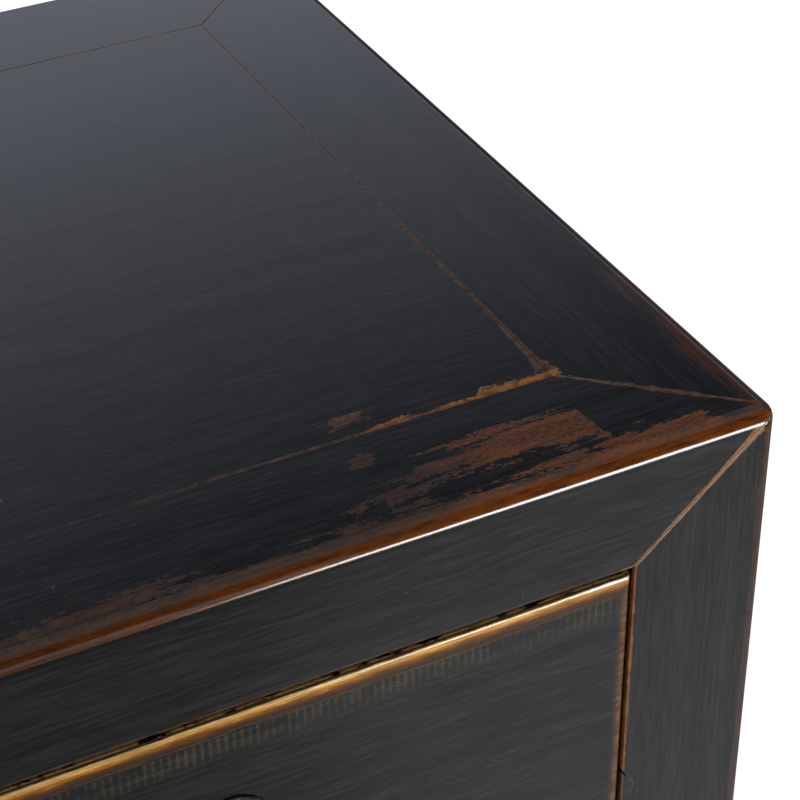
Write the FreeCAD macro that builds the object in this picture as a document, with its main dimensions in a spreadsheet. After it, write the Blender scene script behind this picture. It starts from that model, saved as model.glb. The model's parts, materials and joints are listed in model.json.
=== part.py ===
import FreeCAD, Part

import os
import re

import Sketcher

# A black lacquered sideboard: a frame of square members joined by three-way mitres, flush panels,
# three drawers in a row over a pair of doors. Millimetres. +Z is up, +X is to the right and the
# front faces -Y. The origin is on the floor, below the middle of everything.

doc = FreeCAD.newDocument("sideboard")

# Driving sizes
SIZES = {
    # the whole
    "width": 980.0,
    "depth": 400.0,
    "height": 800.0,
    # frame members
    "post_width": 53.0,
    "front_rail_width": 50.0,
    "side_rail_width": 57.0,
    "back_rail_width": 57.0,
    "top_rail_height": 47.0,
    "outer_round": 6.0,
    "leg_height": 100.0,
    "bottom_rail_height": 50.0,
    "bottom_rail_thickness": 30.0,
    "drawer_rail_height": 21.0,
    "point_ratio": 0.31,
    "tenon_length": 28.0,
    "tenon_thickness": 12.0,
    "tenon_shoulder": 5.0,
    "corner_tenon_set": 19.0,
    "corner_tenon_width": 17.0,
    "corner_tenon_rise": 36.0,
    # panels and boards
    "top_panel_thickness": 14.0,
    "side_panel_thickness": 12.0,
    "door_panel_thickness": 12.0,
    "tongue_length": 8.0,
    "tongue_thickness": 5.0,
    "tongue_drop": 5.0,
    "groove_slack": 1.0,
    "back_panel_thickness": 8.0,
    "back_panel_set": 10.0,
    "bottom_board_thickness": 14.0,
    "batten_width": 34.0,
    "batten_neck": 26.0,
    "batten_height": 20.0,
    "batten_dovetail": 4.0,
    "batten_tenon": 12.0,
    # fronts of drawers and doors
    "gap": 3.0,
    "drawer_top_gap": 2.5,
    "drawer_side_gap": 1.2,
    "stop_gap": 0.3,
    "front_thickness": 20.0,
    "front_round": 1.5,
    "drawer_front_height": 106.0,
    "front_lap": 17.0,
    "door_frame_width": 55.0,
    # drawer boxes and what carries them
    "drawer_side_thickness": 12.0,
    "drawer_back_thickness": 12.0,
    "drawer_bottom_thickness": 5.0,
    "drawer_bottom_lift": 8.0,
    "side_housing": 7.0,
    "back_housing": 5.0,
    "bottom_housing": 5.0,
    "back_overhang": 15.0,
    "side_top_gap": 5.0,
    "back_top_drop": 6.0,
    "run_gap": 0.3,
    "side_clearance": 1.0,
    "rear_gap": 12.0,
    "divider_width": 18.0,
    "divider_tenon": 10.0,
    "divider_tenon_shoulder": 3.0,
    "runner_width": 30.0,
    "runner_thickness": 16.0,
    "runner_tenon": 8.0,
    "guide_height": 14.0,
    # shelf
    "shelf_height": 396.0,
    "shelf_thickness": 16.0,
    "shelf_set": 60.0,
    "shelf_clearance": 1.0,
    "bearer_height": 20.0,
    "bearer_rest": 18.0,
    # ring pulls
    "pull_rise": 4.5,
    "plate_radius": 14.0,
    "plate_rim": 0.9,
    "plate_bevel": 0.8,
    "ring_radius": 17.0,
    "ring_wire": 1.5,
    "ring_standoff": 6.5,
    "lug_radius": 4.2,
    "lug_width": 5.0,
    "lug_bore": 2.1,
    "screw_radius": 2.0,
    "screw_clearance": 0.05,
    "screw_hole_clearance": 0.4,
    "screw_reach": 3.6,
    "screw_head_radius": 4.5,
    "screw_head_height": 2.2,
    # hinges
    "leaf_thickness": 1.2,
    "leaf_depth": 16.0,
    "leaf_set": 1.0,
    "hinge_height": 50.0,
    "hinge_inset": 70.0,
    "hinge_standoff": 3.0,
    "knuckle_radius": 2.6,
    "knuckle_length": 15.0,
    "knuckle_gap": 0.3,
    "pin_radius": 1.3,
    "pin_clearance": 0.05,
    "pin_head_radius": 2.0,
    "pin_head_height": 1.5,
}

# Places that follow from the sizes
PLACES = {
    "left": "-width / 2",
    "right": "width / 2",
    "pull_reach": "ring_standoff + lug_radius",
    "front": "(pull_reach - depth) / 2",
    "back": "front + depth",
    "post_depth": "front_rail_width * post_width / side_rail_width",
    "back_post_depth": "back_rail_width * post_width / side_rail_width",
    "inner_left": "left + post_width",
    "inner_right": "right - post_width",
    "post_back": "front + post_depth",
    "back_post_front": "back - back_post_depth",
    "rail_under": "height - top_rail_height",
    "front_top": "rail_under - drawer_top_gap",
    "front_bottom": "front_top - drawer_front_height",
    "seat": "front_bottom + front_lap",
    "drawer_rail_under": "seat - drawer_rail_height",
    "door_top": "front_bottom - gap",
    "rail_top": "leg_height + bottom_rail_height",
    "door_bottom": "rail_top + gap",
    "fronts_back": "front + front_thickness",
    "rail_front": "fronts_back + stop_gap",
    "back_panel_front": "back - back_panel_set - back_panel_thickness",
    "back_rail_front": "back_panel_front - (post_back - rail_front)",
    "drawer_width": "(width - 2 * post_width - 4 * drawer_side_gap) / 3",
    "door_width": "(width - 2 * post_width - 3 * gap) / 2",
    "side_inset": "divider_width / 2 + side_clearance - drawer_side_gap / 2",
    "board_top": "rail_top + bottom_board_thickness",
    "pull_height": "(front_top + front_bottom) / 2 + pull_rise",
    "hinge_line": "front - hinge_standoff",
    "tongue_reach": "tongue_length + groove_slack",
}

# The size table
sheet = doc.addObject("Spreadsheet::Sheet", "sizes")
for row, (word, size) in enumerate(SIZES.items(), 1):
    sheet.set(f"A{row}", word)
    sheet.set(f"B{row}", str(size))
    sheet.setAlias(f"B{row}", word)
doc.recompute()

WORD = re.compile(r"[a-z][a-z_]*")
PIECES = {}


def formula(text):
    """Writes a formula on sizes and places as one on the size table alone."""
    def swap(match):
        word = match.group(0)
        if word in PLACES:
            return f"({formula(PLACES[word])})"
        return f"sizes.{word}"
    return WORD.sub(swap, text)


def bind(item, **formulas):
    """Binds properties of an object to formulas."""
    for name, text in formulas.items():
        item.setExpression(name, formula(text))


def put(item, x, y, z):
    """Places an object at a point given by three formulas."""
    for axis, text in zip("xyz", (x, y, z)):
        item.setExpression(f"Placement.Base.{axis}", formula(text))


def turn(item, axis, angle):
    """Turns an object about its own base point."""
    item.Placement = FreeCAD.Placement(FreeCAD.Vector(), FreeCAD.Rotation(axis, angle))


X_AXIS = FreeCAD.Vector(1, 0, 0)
Y_AXIS = FreeCAD.Vector(0, 1, 0)


def block(name, x_span, y_span, z_span):
    """A straight-sided block between pairs of formulas along X, Y and Z."""
    item = doc.addObject("Part::Box", name)
    for side, (low, high) in zip(("Length", "Width", "Height"), (x_span, y_span, z_span)):
        bind(item, **{side: f"({high}) - ({low})"})
    put(item, x_span[0], y_span[0], z_span[0])
    return item


def rod(name, axis, centre, radius, length):
    """A round rod from a centre along X, Y or Z."""
    item = doc.addObject("Part::Cylinder", name)
    bind(item, Radius=radius, Height=length)
    if axis == "x":
        turn(item, Y_AXIS, 90)
    if axis == "y":
        turn(item, X_AXIS, -90)
    put(item, *centre)
    return item


def prism(name, plane, outline, low, high):
    """A drawn outline of straight lines, raised between two formulas square to its plane."""
    body = doc.addObject("PartDesign::Body", name)
    support = next(item for item in body.Origin.OriginFeatures if item.Role == plane)
    sketch = body.newObject("Sketcher::SketchObject", f"{name}_outline")
    sketch.AttachmentSupport = [(support, "")]
    sketch.MapMode = "FlatFace"
    count = len(outline)
    corners = [FreeCAD.Vector(index, index * index, 0) for index in range(count)]
    for index in range(count):
        sketch.addGeometry(Part.LineSegment(corners[index], corners[(index + 1) % count]), False)
    rules = [Sketcher.Constraint("Coincident", index, 2, (index + 1) % count, 1)
             for index in range(count)]
    for index, corner in enumerate(corners):
        rules.append(Sketcher.Constraint("DistanceX", index, 1, corner.x))
        rules.append(Sketcher.Constraint("DistanceY", index, 1, corner.y))
    sketch.addConstraint(rules)
    for index, (across, up) in enumerate(outline):
        sketch.setExpression(f"Constraints[{count + 2 * index}]", formula(across))
        sketch.setExpression(f"Constraints[{count + 2 * index + 1}]", formula(up))
    pad = body.newObject("PartDesign::Pad", f"{name}_pad")
    pad.Profile = sketch
    pad.Reversed = plane == "XZ_Plane"
    bind(pad, Length=f"({high}) - ({low})")
    shift = {"XY_Plane": "z", "XZ_Plane": "y", "YZ_Plane": "x"}[plane]
    body.setExpression(f"Placement.Base.{shift}", formula(low))
    return body


def join(name, *parts):
    """One solid from parts that overlap or touch."""
    item = doc.addObject("Part::MultiFuse", name)
    item.Shapes = parts
    item.Refine = True
    return item


def common(name, *parts):
    """What all the parts share."""
    item = doc.addObject("Part::MultiCommon", name)
    item.Shapes = parts
    return item


def cut(name, base, *tools):
    """The base without the tools."""
    for number, tool in enumerate(tools, 1):
        item = doc.addObject("Part::Cut", f"{name}_cut_{number}")
        item.Base = base
        item.Tool = tool
        base = item
    return base


def rounded(name, base, *rounds):
    """Rounds edges: each round is a test that an edge passes, with the radius it gets."""
    doc.recompute()
    item = doc.addObject("Part::Fillet", name)
    item.Base = base
    item.Edges = [(number, radius, radius)
                  for number, edge in enumerate(base.Shape.Edges, 1)
                  for chosen, radius in rounds if chosen(edge)]
    return item


def group(name, *parts):
    """Separate solids that share a node."""
    item = doc.addObject("Part::Compound", name)
    item.Links = parts
    return item


def piece(name, item):
    """Names a finished piece."""
    item.Label = name
    PIECES[name] = item
    return item


def from_side(side, near, far):
    """A span of X measured inwards from the left or the right side."""
    if side == "left":
        return f"left + {near}", f"left + {far}"
    return f"right - ({far})", f"right - ({near})"


def from_end(end, near, far):
    """A span of Y measured inwards from the front or the back."""
    if end == "front":
        return f"front + {near}", f"front + {far}"
    return f"back - ({far})", f"back - ({near})"


def flat_in(edge, axis):
    """Whether an edge lies square to an axis."""
    ends = [vertex.Point for vertex in edge.Vertexes]
    return abs(getattr(ends[0] - ends[1], axis)) < 1e-6


def upright(edge):
    """Whether an edge runs straight up."""
    return flat_in(edge, "x") and flat_in(edge, "y")


SIDES = ("left", "right")
ENDS = ("front", "back")
POST_DEPTH = {"front": "post_depth", "back": "back_post_depth"}
RAIL_WIDTH = {"front": "front_rail_width", "back": "back_rail_width"}
POST_FACE = {"front": "post_back", "back": "back_post_front"}
INNER = {"left": "inner_left", "right": "inner_right"}


# Outer form of the whole, with its rounded arrises, that every outer member is shaped to
outer_block = block("outer_block", ("left", "right"), ("front", "back"), ("0", "height"))
doc.recompute()


def on_top(edge):
    """Whether an edge bounds the top face."""
    return all(abs(vertex.Z - sheet.height) < 1e-6 for vertex in edge.Vertexes)


outer_form = rounded("outer_form", outer_block, (on_top, sheet.outer_round), (upright, sheet.outer_round))


def tongued_panel(name, x_span, y_span, z_span, thin_axis, face_first):
    """A flush panel with a tongue all round, and the slot that its tongue needs."""
    spans = [x_span, y_span, z_span]
    field = block(f"{name}_field", *spans)
    tongue, slot = list(spans), list(spans)
    for axis, (low, high) in enumerate(spans):
        if axis == thin_axis:
            if face_first:
                thin = (f"{low} + tongue_drop", f"{low} + tongue_drop + tongue_thickness")
            else:
                thin = (f"{high} - tongue_drop - tongue_thickness", f"{high} - tongue_drop")
            tongue[axis] = slot[axis] = thin
        else:
            tongue[axis] = (f"{low} - tongue_length", f"{high} + tongue_length")
            slot[axis] = (f"{low} - tongue_reach", f"{high} + tongue_reach")
    return join(f"{name}_form", field, block(f"{name}_tongue", *tongue)), block(f"{name}_slot", *slot)


# Panels
top_blank, top_slot = tongued_panel(
    "top_panel", ("left + side_rail_width", "right - side_rail_width"),
    ("front + front_rail_width", "back - back_rail_width"),
    ("height - top_panel_thickness", "height"), 2, False)
side_slots = {}
for side in SIDES:
    side_form, side_slots[side] = tongued_panel(
        f"{side}_side_panel", from_side(side, "0", "side_panel_thickness"),
        ("post_back", "back_post_front"), ("rail_top", "rail_under"), 0, side == "left")
    piece(f"{side}_side_panel", side_form)
back_panel = block("back_panel_form", ("inner_left - tongue_length", "inner_right + tongue_length"),
                   ("back_panel_front", "back_panel_front + back_panel_thickness"),
                   ("rail_top - tongue_length", "rail_under + tongue_length"))
back_slot = block("back_panel_slot", ("inner_left - tongue_reach", "inner_right + tongue_reach"),
                  ("back_panel_front", "back_panel_front + back_panel_thickness"),
                  ("rail_top - tongue_reach", "rail_under + tongue_reach"))
piece("back_panel", back_panel)

# Tenons are listed under the member that they enter, which is cut for them later
mortises = {f"{end}_{side}_post": [] for end in ENDS for side in SIDES}
mortises.update({f"top_{end}_rail": [] for end in ENDS})
mortises.update({f"{end}_drawer_rail": [] for end in ENDS})


def end_tenons(name, end, y_span, z_span):
    """Tenons at both ends of a long rail, entering the two posts of one end of the carcass."""
    tenons = []
    for side in SIDES:
        x_span = from_side(side, "post_width - tenon_length", "post_width")
        tenon = block(f"{name}_{side}_tenon", x_span, y_span, z_span)
        mortises[f"{end}_{side}_post"].append(tenon)
        tenons.append(tenon)
    return tenons


def points(name, y_span, low, high):
    """Pointed shoulders at both ends of a front rail, let into the faces of the posts."""
    shoulders = []
    for side, sign in (("left", "-"), ("right", "+")):
        reach = f"{INNER[side]} {sign} point_ratio * ({high} - {low})"
        outline = [(INNER[side], low), (INNER[side], high), (reach, f"({high} + {low}) / 2")]
        shoulder = prism(f"{name}_{side}_point", "XZ_Plane", outline, *y_span)
        mortises[f"front_{side}_post"].append(shoulder)
        shoulders.append(shoulder)
    return shoulders


# Rails between the posts
tenon_y = "(rail_front + post_back) / 2 - tenon_thickness / 2"
rail_blanks = {}
rail_blanks["front"] = join(
    "front_drawer_rail_form",
    block("front_drawer_rail_bar", ("inner_left", "inner_right"), ("rail_front", "post_back"),
          ("drawer_rail_under", "seat")),
    *points("front_drawer_rail", ("front", "post_back"), "drawer_rail_under", "seat"),
    *end_tenons("front_drawer_rail", "front", (tenon_y, f"{tenon_y} + tenon_thickness"),
                ("drawer_rail_under + tenon_shoulder", "seat - tenon_shoulder")))
rail_blanks["back"] = join(
    "back_drawer_rail_form",
    block("back_drawer_rail_bar", ("inner_left", "inner_right"), ("back_rail_front", "back_panel_front"),
          ("drawer_rail_under", "seat")),
    *end_tenons("back_drawer_rail", "back",
                ("back_panel_front - tenon_shoulder - tenon_thickness", "back_panel_front - tenon_shoulder"),
                ("drawer_rail_under + tenon_shoulder", "seat - tenon_shoulder")))

long_rail_y = {end: from_end(end, "0", "bottom_rail_thickness") for end in ENDS}
long_tenon_y = {end: from_end(end, "tenon_shoulder", "tenon_shoulder + tenon_thickness") for end in ENDS}
low_tenon_z = ("leg_height + tenon_shoulder", "rail_top - tenon_shoulder")
front_bottom_rail = join(
    "front_bottom_rail_form",
    block("front_bottom_rail_bar", ("inner_left", "inner_right"), long_rail_y["front"],
          ("leg_height", "rail_top")),
    *points("front_bottom_rail", long_rail_y["front"], "leg_height", "rail_top"),
    *end_tenons("front_bottom_rail", "front", long_tenon_y["front"], low_tenon_z))
piece("front_bottom_rail", front_bottom_rail)
back_bottom_bar = join(
    "back_bottom_rail_form",
    block("back_bottom_rail_bar", ("inner_left", "inner_right"), long_rail_y["back"],
          ("leg_height", "rail_top")),
    *end_tenons("back_bottom_rail", "back", long_tenon_y["back"], low_tenon_z))
piece("back_bottom_rail", cut("back_bottom_rail", back_bottom_bar, back_slot))

for side in SIDES:
    name = f"{side}_bottom_rail"
    bar = block(f"{name}_bar", from_side(side, "0", "bottom_rail_thickness"),
                ("post_back", "back_post_front"), ("leg_height", "rail_top"))
    tenon_x = from_side(side, "tenon_shoulder + tongue_drop",
                        "tenon_shoulder + tongue_drop + tenon_thickness")
    tenon_reach = "tenon_length - tenon_shoulder"
    spans = {"front": (f"post_back - ({tenon_reach})", "post_back"),
             "back": ("back_post_front", f"back_post_front + {tenon_reach}")}
    tenons = []
    for end in ENDS:
        tenon = block(f"{name}_{end}_tenon", tenon_x, spans[end], low_tenon_z)
        mortises[f"{end}_{side}_post"].append(tenon)
        tenons.append(tenon)
    piece(name, cut(name, join(f"{name}_form", bar, *tenons), side_slots[side]))

# Dividers between the drawers
for number, side in enumerate(SIDES, 1):
    name = f"{side}_divider"
    middle = f"inner_left + drawer_side_gap / 2 + {number} * (drawer_width + drawer_side_gap)"
    stem = block(f"{name}_stem", (f"{middle} - divider_width / 2", f"{middle} + divider_width / 2"),
                 ("rail_front", "post_back"), ("seat", "rail_under"))
    tenon_x = (f"{middle} - divider_width / 2 + divider_tenon_shoulder",
               f"{middle} + divider_width / 2 - divider_tenon_shoulder")
    tenon_y_span = ("rail_front + divider_tenon_shoulder",
                    "post_back - runner_tenon - divider_tenon_shoulder")
    upper = block(f"{name}_upper_tenon", tenon_x, tenon_y_span,
                  ("rail_under", "rail_under + divider_tenon"))
    lower = block(f"{name}_lower_tenon", tenon_x, tenon_y_span, ("seat - divider_tenon", "seat"))
    mortises["top_front_rail"].append(upper)
    mortises["front_drawer_rail"].append(lower)
    piece(name, join(f"{name}_form", stem, upper, lower))

# Runners, each with a guide strip that keeps the drawers straight
guide_reach = "drawer_side_gap + side_inset - side_clearance"


def runner(name, x_span, guide_span):
    """A board along the depth, tenoned in the drawer rails, with its guide strip on top."""
    low = "seat - runner_thickness"
    bar = block(f"{name}_bar", x_span, ("post_back", "back_rail_front"), (low, "seat"))
    tenon_z = (f"{low} + tenon_shoulder", "seat - tenon_shoulder")
    tenons = []
    for end, y_span in (("front", ("post_back - runner_tenon", "post_back")),
                        ("back", ("back_rail_front", "back_rail_front + runner_tenon"))):
        tenon = block(f"{name}_{end}_tenon", x_span, y_span, tenon_z)
        mortises[f"{end}_drawer_rail"].append(tenon)
        tenons.append(tenon)
    guide = block(f"{name}_guide", guide_span, ("post_back", "back_rail_front"),
                  ("seat", "seat + guide_height"))
    return [join(f"{name}_form", bar, *tenons), guide]


for side in SIDES:
    x_span = from_side(side, "post_width", f"post_width + {guide_reach} + runner_width")
    guide_span = from_side(side, "post_width", f"post_width + {guide_reach}")
    piece(f"{side}_runner", group(f"{side}_runner_set", *runner(f"{side}_runner", x_span, guide_span)))
middle_parts = []
for number in (1, 2):
    middle = f"inner_left + drawer_side_gap / 2 + {number} * (drawer_width + drawer_side_gap)"
    x_span = (f"{middle} - divider_width / 2 - runner_width", f"{middle} + divider_width / 2 + runner_width")
    guide_span = (f"{middle} - divider_width / 2", f"{middle} + divider_width / 2")
    middle_parts += runner(f"middle_runner_{number}", x_span, guide_span)
piece("middle_runners", group("middle_runner_set", *middle_parts))

for end in ENDS:
    name = f"{end}_drawer_rail"
    piece(name, cut(name, rail_blanks[end], *mortises[name]))

# Battens under the top panel, dovetailed into it and tenoned in the long rails
batten_low = "height - top_panel_thickness - batten_height"
batten_seat = "height - top_panel_thickness"
battens, dovetails = [], []
for number in (1, 2):
    middle = f"left + {number} * width / 3"
    wide = "batten_width / 2"
    neck = "batten_neck / 2"
    bar = block(f"batten_{number}_bar", (f"{middle} - {wide}", f"{middle} + {wide}"),
                ("front + front_rail_width", "back - back_rail_width"), (batten_low, batten_seat))
    outline = [(f"{middle} - {neck}", batten_seat), (f"{middle} + {neck}", batten_seat),
               (f"{middle} + {wide}", f"{batten_seat} + batten_dovetail"),
               (f"{middle} - {wide}", f"{batten_seat} + batten_dovetail")]
    dovetail = prism(f"batten_{number}_dovetail", "XZ_Plane", outline,
                     "front + front_rail_width", "back - back_rail_width")
    dovetails.append(dovetail)
    tenons = []
    for end, y_span in (("front", ("front + front_rail_width - batten_tenon", "front + front_rail_width")),
                        ("back", ("back - back_rail_width", "back - back_rail_width + batten_tenon"))):
        tenon = block(f"batten_{number}_{end}_tenon", (f"{middle} - {neck}", f"{middle} + {neck}"), y_span,
                      (f"{batten_low} + tenon_shoulder / 2", f"{batten_seat} - tenon_shoulder / 2"))
        mortises[f"top_{end}_rail"].append(tenon)
        tenons.append(tenon)
    battens.append(join(f"batten_{number}_form", bar, dovetail, *tenons))
piece("top_battens", group("batten_pair", *battens))
piece("top_panel", cut("top_panel", top_blank, *dovetails))

# Posts: the corner of each rises in a point between the two mitres, with a tenon inside
corner_tenons = {}
for end in ENDS:
    for side in SIDES:
        name = f"{end}_{side}_post"
        face = prism(f"{name}_face", "XZ_Plane",
                     [(side, "0"), (side, "height"), (INNER[side], "rail_under"),
                      (INNER[side], "0")],
                     *from_end(end, "0", POST_DEPTH[end]))
        flank = prism(f"{name}_flank", "YZ_Plane",
                      [(end, "0"), (end, "height"), (POST_FACE[end], "rail_under"),
                       (POST_FACE[end], "0")],
                      *from_side(side, "0", "post_width"))
        stem = common(f"{name}_stem", face, flank, outer_form)
        tenon_set = ("corner_tenon_set", "corner_tenon_set + corner_tenon_width")
        tenon = block(f"{name}_corner_tenon", from_side(side, *tenon_set), from_end(end, *tenon_set),
                      ("rail_under", "rail_under + corner_tenon_rise"))
        corner_tenons[end, side] = tenon
        slots = [side_slots[side]] + ([back_slot] if end == "back" else [])
        hollowed = cut(name, stem, *mortises[name], *slots)
        piece(name, join(f"{name}_form", hollowed, tenon))

# Top rails: mitred in plan with each other and on their faces with the posts
for end in ENDS:
    name = f"top_{end}_rail"
    inner = from_end(end, RAIL_WIDTH[end], RAIL_WIDTH[end])[0]
    plan = prism(f"{name}_plan", "XY_Plane",
                 [("left", end), ("right", end), ("right - side_rail_width", inner),
                  ("left + side_rail_width", inner)], "rail_under", "height")
    face = prism(f"{name}_face", "XZ_Plane",
                 [("left", "height"), ("right", "height"), ("inner_right", "rail_under"),
                  ("inner_left", "rail_under")], *from_end(end, "0", RAIL_WIDTH[end]))
    slots = [top_slot] + ([back_slot] if end == "back" else [])
    tenons = [corner_tenons[end, side] for side in SIDES]
    bar = common(f"{name}_bar", plan, face, outer_form)
    piece(name, cut(name, bar, *slots, *tenons, *mortises[name]))
for side in SIDES:
    name = f"top_{side}_rail"
    inner = from_side(side, "side_rail_width", "side_rail_width")[0]
    plan = prism(f"{name}_plan", "XY_Plane",
                 [(side, "front"), (side, "back"), (inner, "back - back_rail_width"),
                  (inner, "front + front_rail_width")], "rail_under", "height")
    flank = prism(f"{name}_flank", "YZ_Plane",
                  [("front", "height"), ("back", "height"), ("back_post_front", "rail_under"),
                   ("post_back", "rail_under")], *from_side(side, "0", "side_rail_width"))
    tenons = [corner_tenons[end, side] for end in ENDS]
    bar = common(f"{name}_bar", plan, flank, outer_form)
    piece(name, cut(name, bar, top_slot, side_slots[side], *tenons))

# Bottom board, notched round the posts, whose front edge stops the doors
board = block("bottom_board_blank",
              ("left + side_panel_thickness", "right - side_panel_thickness"),
              ("rail_front", "back_panel_front"), ("rail_top", "board_top"))
notches = [block(f"bottom_board_{end}_{side}_notch", from_side(side, "0", "post_width"),
                 from_end(end, "0", POST_DEPTH[end]), ("rail_top", "board_top"))
           for end in ENDS for side in SIDES]
piece("bottom_board", cut("bottom_board", board, *notches))

# Shelf on two bearers that run from post to post
piece("shelf", block("shelf_board", ("inner_left + shelf_clearance", "inner_right - shelf_clearance"),
                     ("front + shelf_set", "back_panel_front - shelf_clearance"),
                     ("shelf_height", "shelf_height + shelf_thickness")))
bearers = [block(f"{side}_bearer", from_side(side, "side_panel_thickness", "post_width + bearer_rest"),
                 ("post_back", "back_post_front"), ("shelf_height - bearer_height", "shelf_height"))
           for side in SIDES]
piece("shelf_bearers", group("bearer_pair", *bearers))


def ring_pull(name, x, z):
    """A round plate with an eye, held by a screw from behind, and the ring that swings in the eye."""
    rim = rod(f"{name}_plate_rim", "y", (x, "front - plate_rim", z), "plate_radius", "plate_rim")
    bevel = doc.addObject("Part::Cone", f"{name}_plate_bevel")
    bind(bevel, Radius1="plate_radius - plate_bevel", Radius2="plate_radius", Height="plate_bevel")
    turn(bevel, X_AXIS, -90)
    put(bevel, x, "front - plate_rim - plate_bevel", z)
    axis_y = "front - ring_standoff"
    half = (f"{x} - lug_width / 2", f"{x} + lug_width / 2")
    knob = rod(f"{name}_eye_round", "x", (half[0], axis_y, z), "lug_radius", "lug_width")
    neck = block(f"{name}_eye_neck", half, (axis_y, "front - plate_rim"),
                 (f"{z} - lug_radius", f"{z} + lug_radius"))
    eye_bore = rod(f"{name}_eye_bore", "x", (half[0], axis_y, z), "lug_bore", "lug_width")
    screw_bore = rod(f"{name}_screw_bore", "y", (x, "front - screw_reach", z),
                     "screw_radius + screw_clearance", "screw_reach")
    plate = cut(f"{name}_plate", join(f"{name}_plate_form", rim, bevel, knob, neck), eye_bore, screw_bore)
    shank = rod(f"{name}_screw_shank", "y", (x, "front - screw_reach", z), "screw_radius",
                "screw_reach + front_thickness")
    head = rod(f"{name}_screw_head", "y", (x, "fronts_back", z), "screw_head_radius", "screw_head_height")
    screw = join(f"{name}_screw", shank, head)
    piece(f"{name}_pull_plate", group(f"{name}_pull_set", plate, screw))
    ring = doc.addObject("Part::Torus", f"{name}_ring")
    bind(ring, Radius1="ring_radius", Radius2="ring_wire")
    turn(ring, X_AXIS, 90)
    put(ring, x, axis_y, f"{z} - ring_radius")
    piece(f"{name}_pull_ring", ring)
    return rod(f"{name}_screw_hole", "y", (x, "front", z), "screw_radius + screw_hole_clearance",
               "front_thickness")


def front_blank(name, x_span, z_span):
    """A front flush with the frame, with its face rounded over all round."""
    blank = block(f"{name}_blank", x_span, ("front", "fronts_back"), z_span)
    doc.recompute()
    face = blank.Shape.BoundBox.YMin

    def on_face(edge):
        return all(abs(vertex.Y - face) < 1e-6 for vertex in edge.Vertexes)

    return rounded(f"{name}_rounded", blank, (on_face, sheet.front_round))


# Drawers
for number, word in enumerate(("left", "middle", "right")):
    name = f"{word}_drawer"
    low_x = f"inner_left + drawer_side_gap + {number} * (drawer_width + drawer_side_gap)"
    high_x = f"{low_x} + drawer_width"
    box_low = "seat + run_gap"
    side_z = (box_low, "rail_under - side_top_gap")
    side_y = ("fronts_back - side_housing", "back_panel_front - rear_gap")
    bottom_low = f"{box_low} + drawer_bottom_lift"
    bottom_z = (bottom_low, f"{bottom_low} + drawer_bottom_thickness")
    inside = (f"{low_x} + side_inset + drawer_side_thickness",
              f"{high_x} - side_inset - drawer_side_thickness")
    back = block(f"{name}_back_board", (f"{inside[0]} - back_housing", f"{inside[1]} + back_housing"),
                 (f"{side_y[1]} - back_overhang - drawer_back_thickness", f"{side_y[1]} - back_overhang"),
                 (bottom_z[1], f"{side_z[1]} - back_top_drop"))
    bottom = block(f"{name}_bottom_board", (f"{inside[0]} - bottom_housing", f"{inside[1]} + bottom_housing"),
                   ("fronts_back - bottom_housing", f"{side_y[1]} - back_overhang"), bottom_z)
    side_x = {"left": (f"{low_x} + side_inset", inside[0]), "right": (inside[1], f"{high_x} - side_inset")}
    boards = {side: block(f"{name}_{side}_board", side_x[side], side_y, side_z) for side in SIDES}
    screw_hole = ring_pull(name, f"{low_x} + drawer_width / 2", "pull_height")
    blank = front_blank(f"{name}_front", (low_x, high_x), ("front_bottom", "front_top"))
    piece(f"{name}_front", cut(f"{name}_front", blank, boards["left"], boards["right"], bottom, screw_hole))
    for side in SIDES:
        piece(f"{name}_{side}_side", cut(f"{name}_{side}_side", boards[side], back, bottom))
    piece(f"{name}_back", back)
    piece(f"{name}_bottom", bottom)

# Doors, hinged to the posts and meeting in the middle
door_low_x = {"left": "inner_left + gap", "right": "inner_right - gap - door_width"}
hinge_x = {"left": "inner_left + gap / 2", "right": "inner_right - gap / 2"}


def leaf(name, x_span, z_span, axis_x, knuckles, bore):
    """A hinge leaf: a plate with its knuckles and the tabs that join them to it."""
    parts = [block(f"{name}_plate", x_span, ("front + leaf_set", "front + leaf_depth"), z_span)]
    for number, (low, high) in enumerate(knuckles, 1):
        parts.append(block(f"{name}_tab_{number}", x_span, ("hinge_line", "front + leaf_set"), (low, high)))
        parts.append(rod(f"{name}_knuckle_{number}", "z", (axis_x, "hinge_line", low), "knuckle_radius",
                         f"({high}) - ({low})"))
    return cut(name, join(f"{name}_form", *parts), bore)


def hinge(name, side, middle):
    """A butt hinge in the gap beside a post: the post's leaf, the door's leaf and the pin."""
    axis_x = hinge_x[side]
    low = f"{middle} - hinge_height / 2"
    high = f"{middle} + hinge_height / 2"
    bore = rod(f"{name}_bore", "z", (axis_x, "hinge_line", low), "pin_radius + pin_clearance",
               "hinge_height")
    post_leaf = leaf(f"{name}_post_leaf", from_side(side, "post_width", "post_width + leaf_thickness"),
                     (low, high), axis_x,
                     [(low, f"{low} + knuckle_length"), (f"{high} - knuckle_length", high)], bore)
    door_leaf = leaf(f"{name}_door_leaf",
                     from_side(side, "post_width + gap - leaf_thickness", "post_width + gap"),
                     (low, high), axis_x,
                     [(f"{low} + knuckle_length + knuckle_gap", f"{high} - knuckle_length - knuckle_gap")],
                     bore)
    shank = rod(f"{name}_pin_shank", "z", (axis_x, "hinge_line", low), "pin_radius", "hinge_height")
    foot = rod(f"{name}_pin_foot", "z", (axis_x, "hinge_line", f"{low} - pin_head_height"),
               "pin_head_radius", "pin_head_height")
    head = rod(f"{name}_pin_head", "z", (axis_x, "hinge_line", high), "pin_head_radius", "pin_head_height")
    return post_leaf, door_leaf, join(f"{name}_pin", shank, foot, head)


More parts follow.
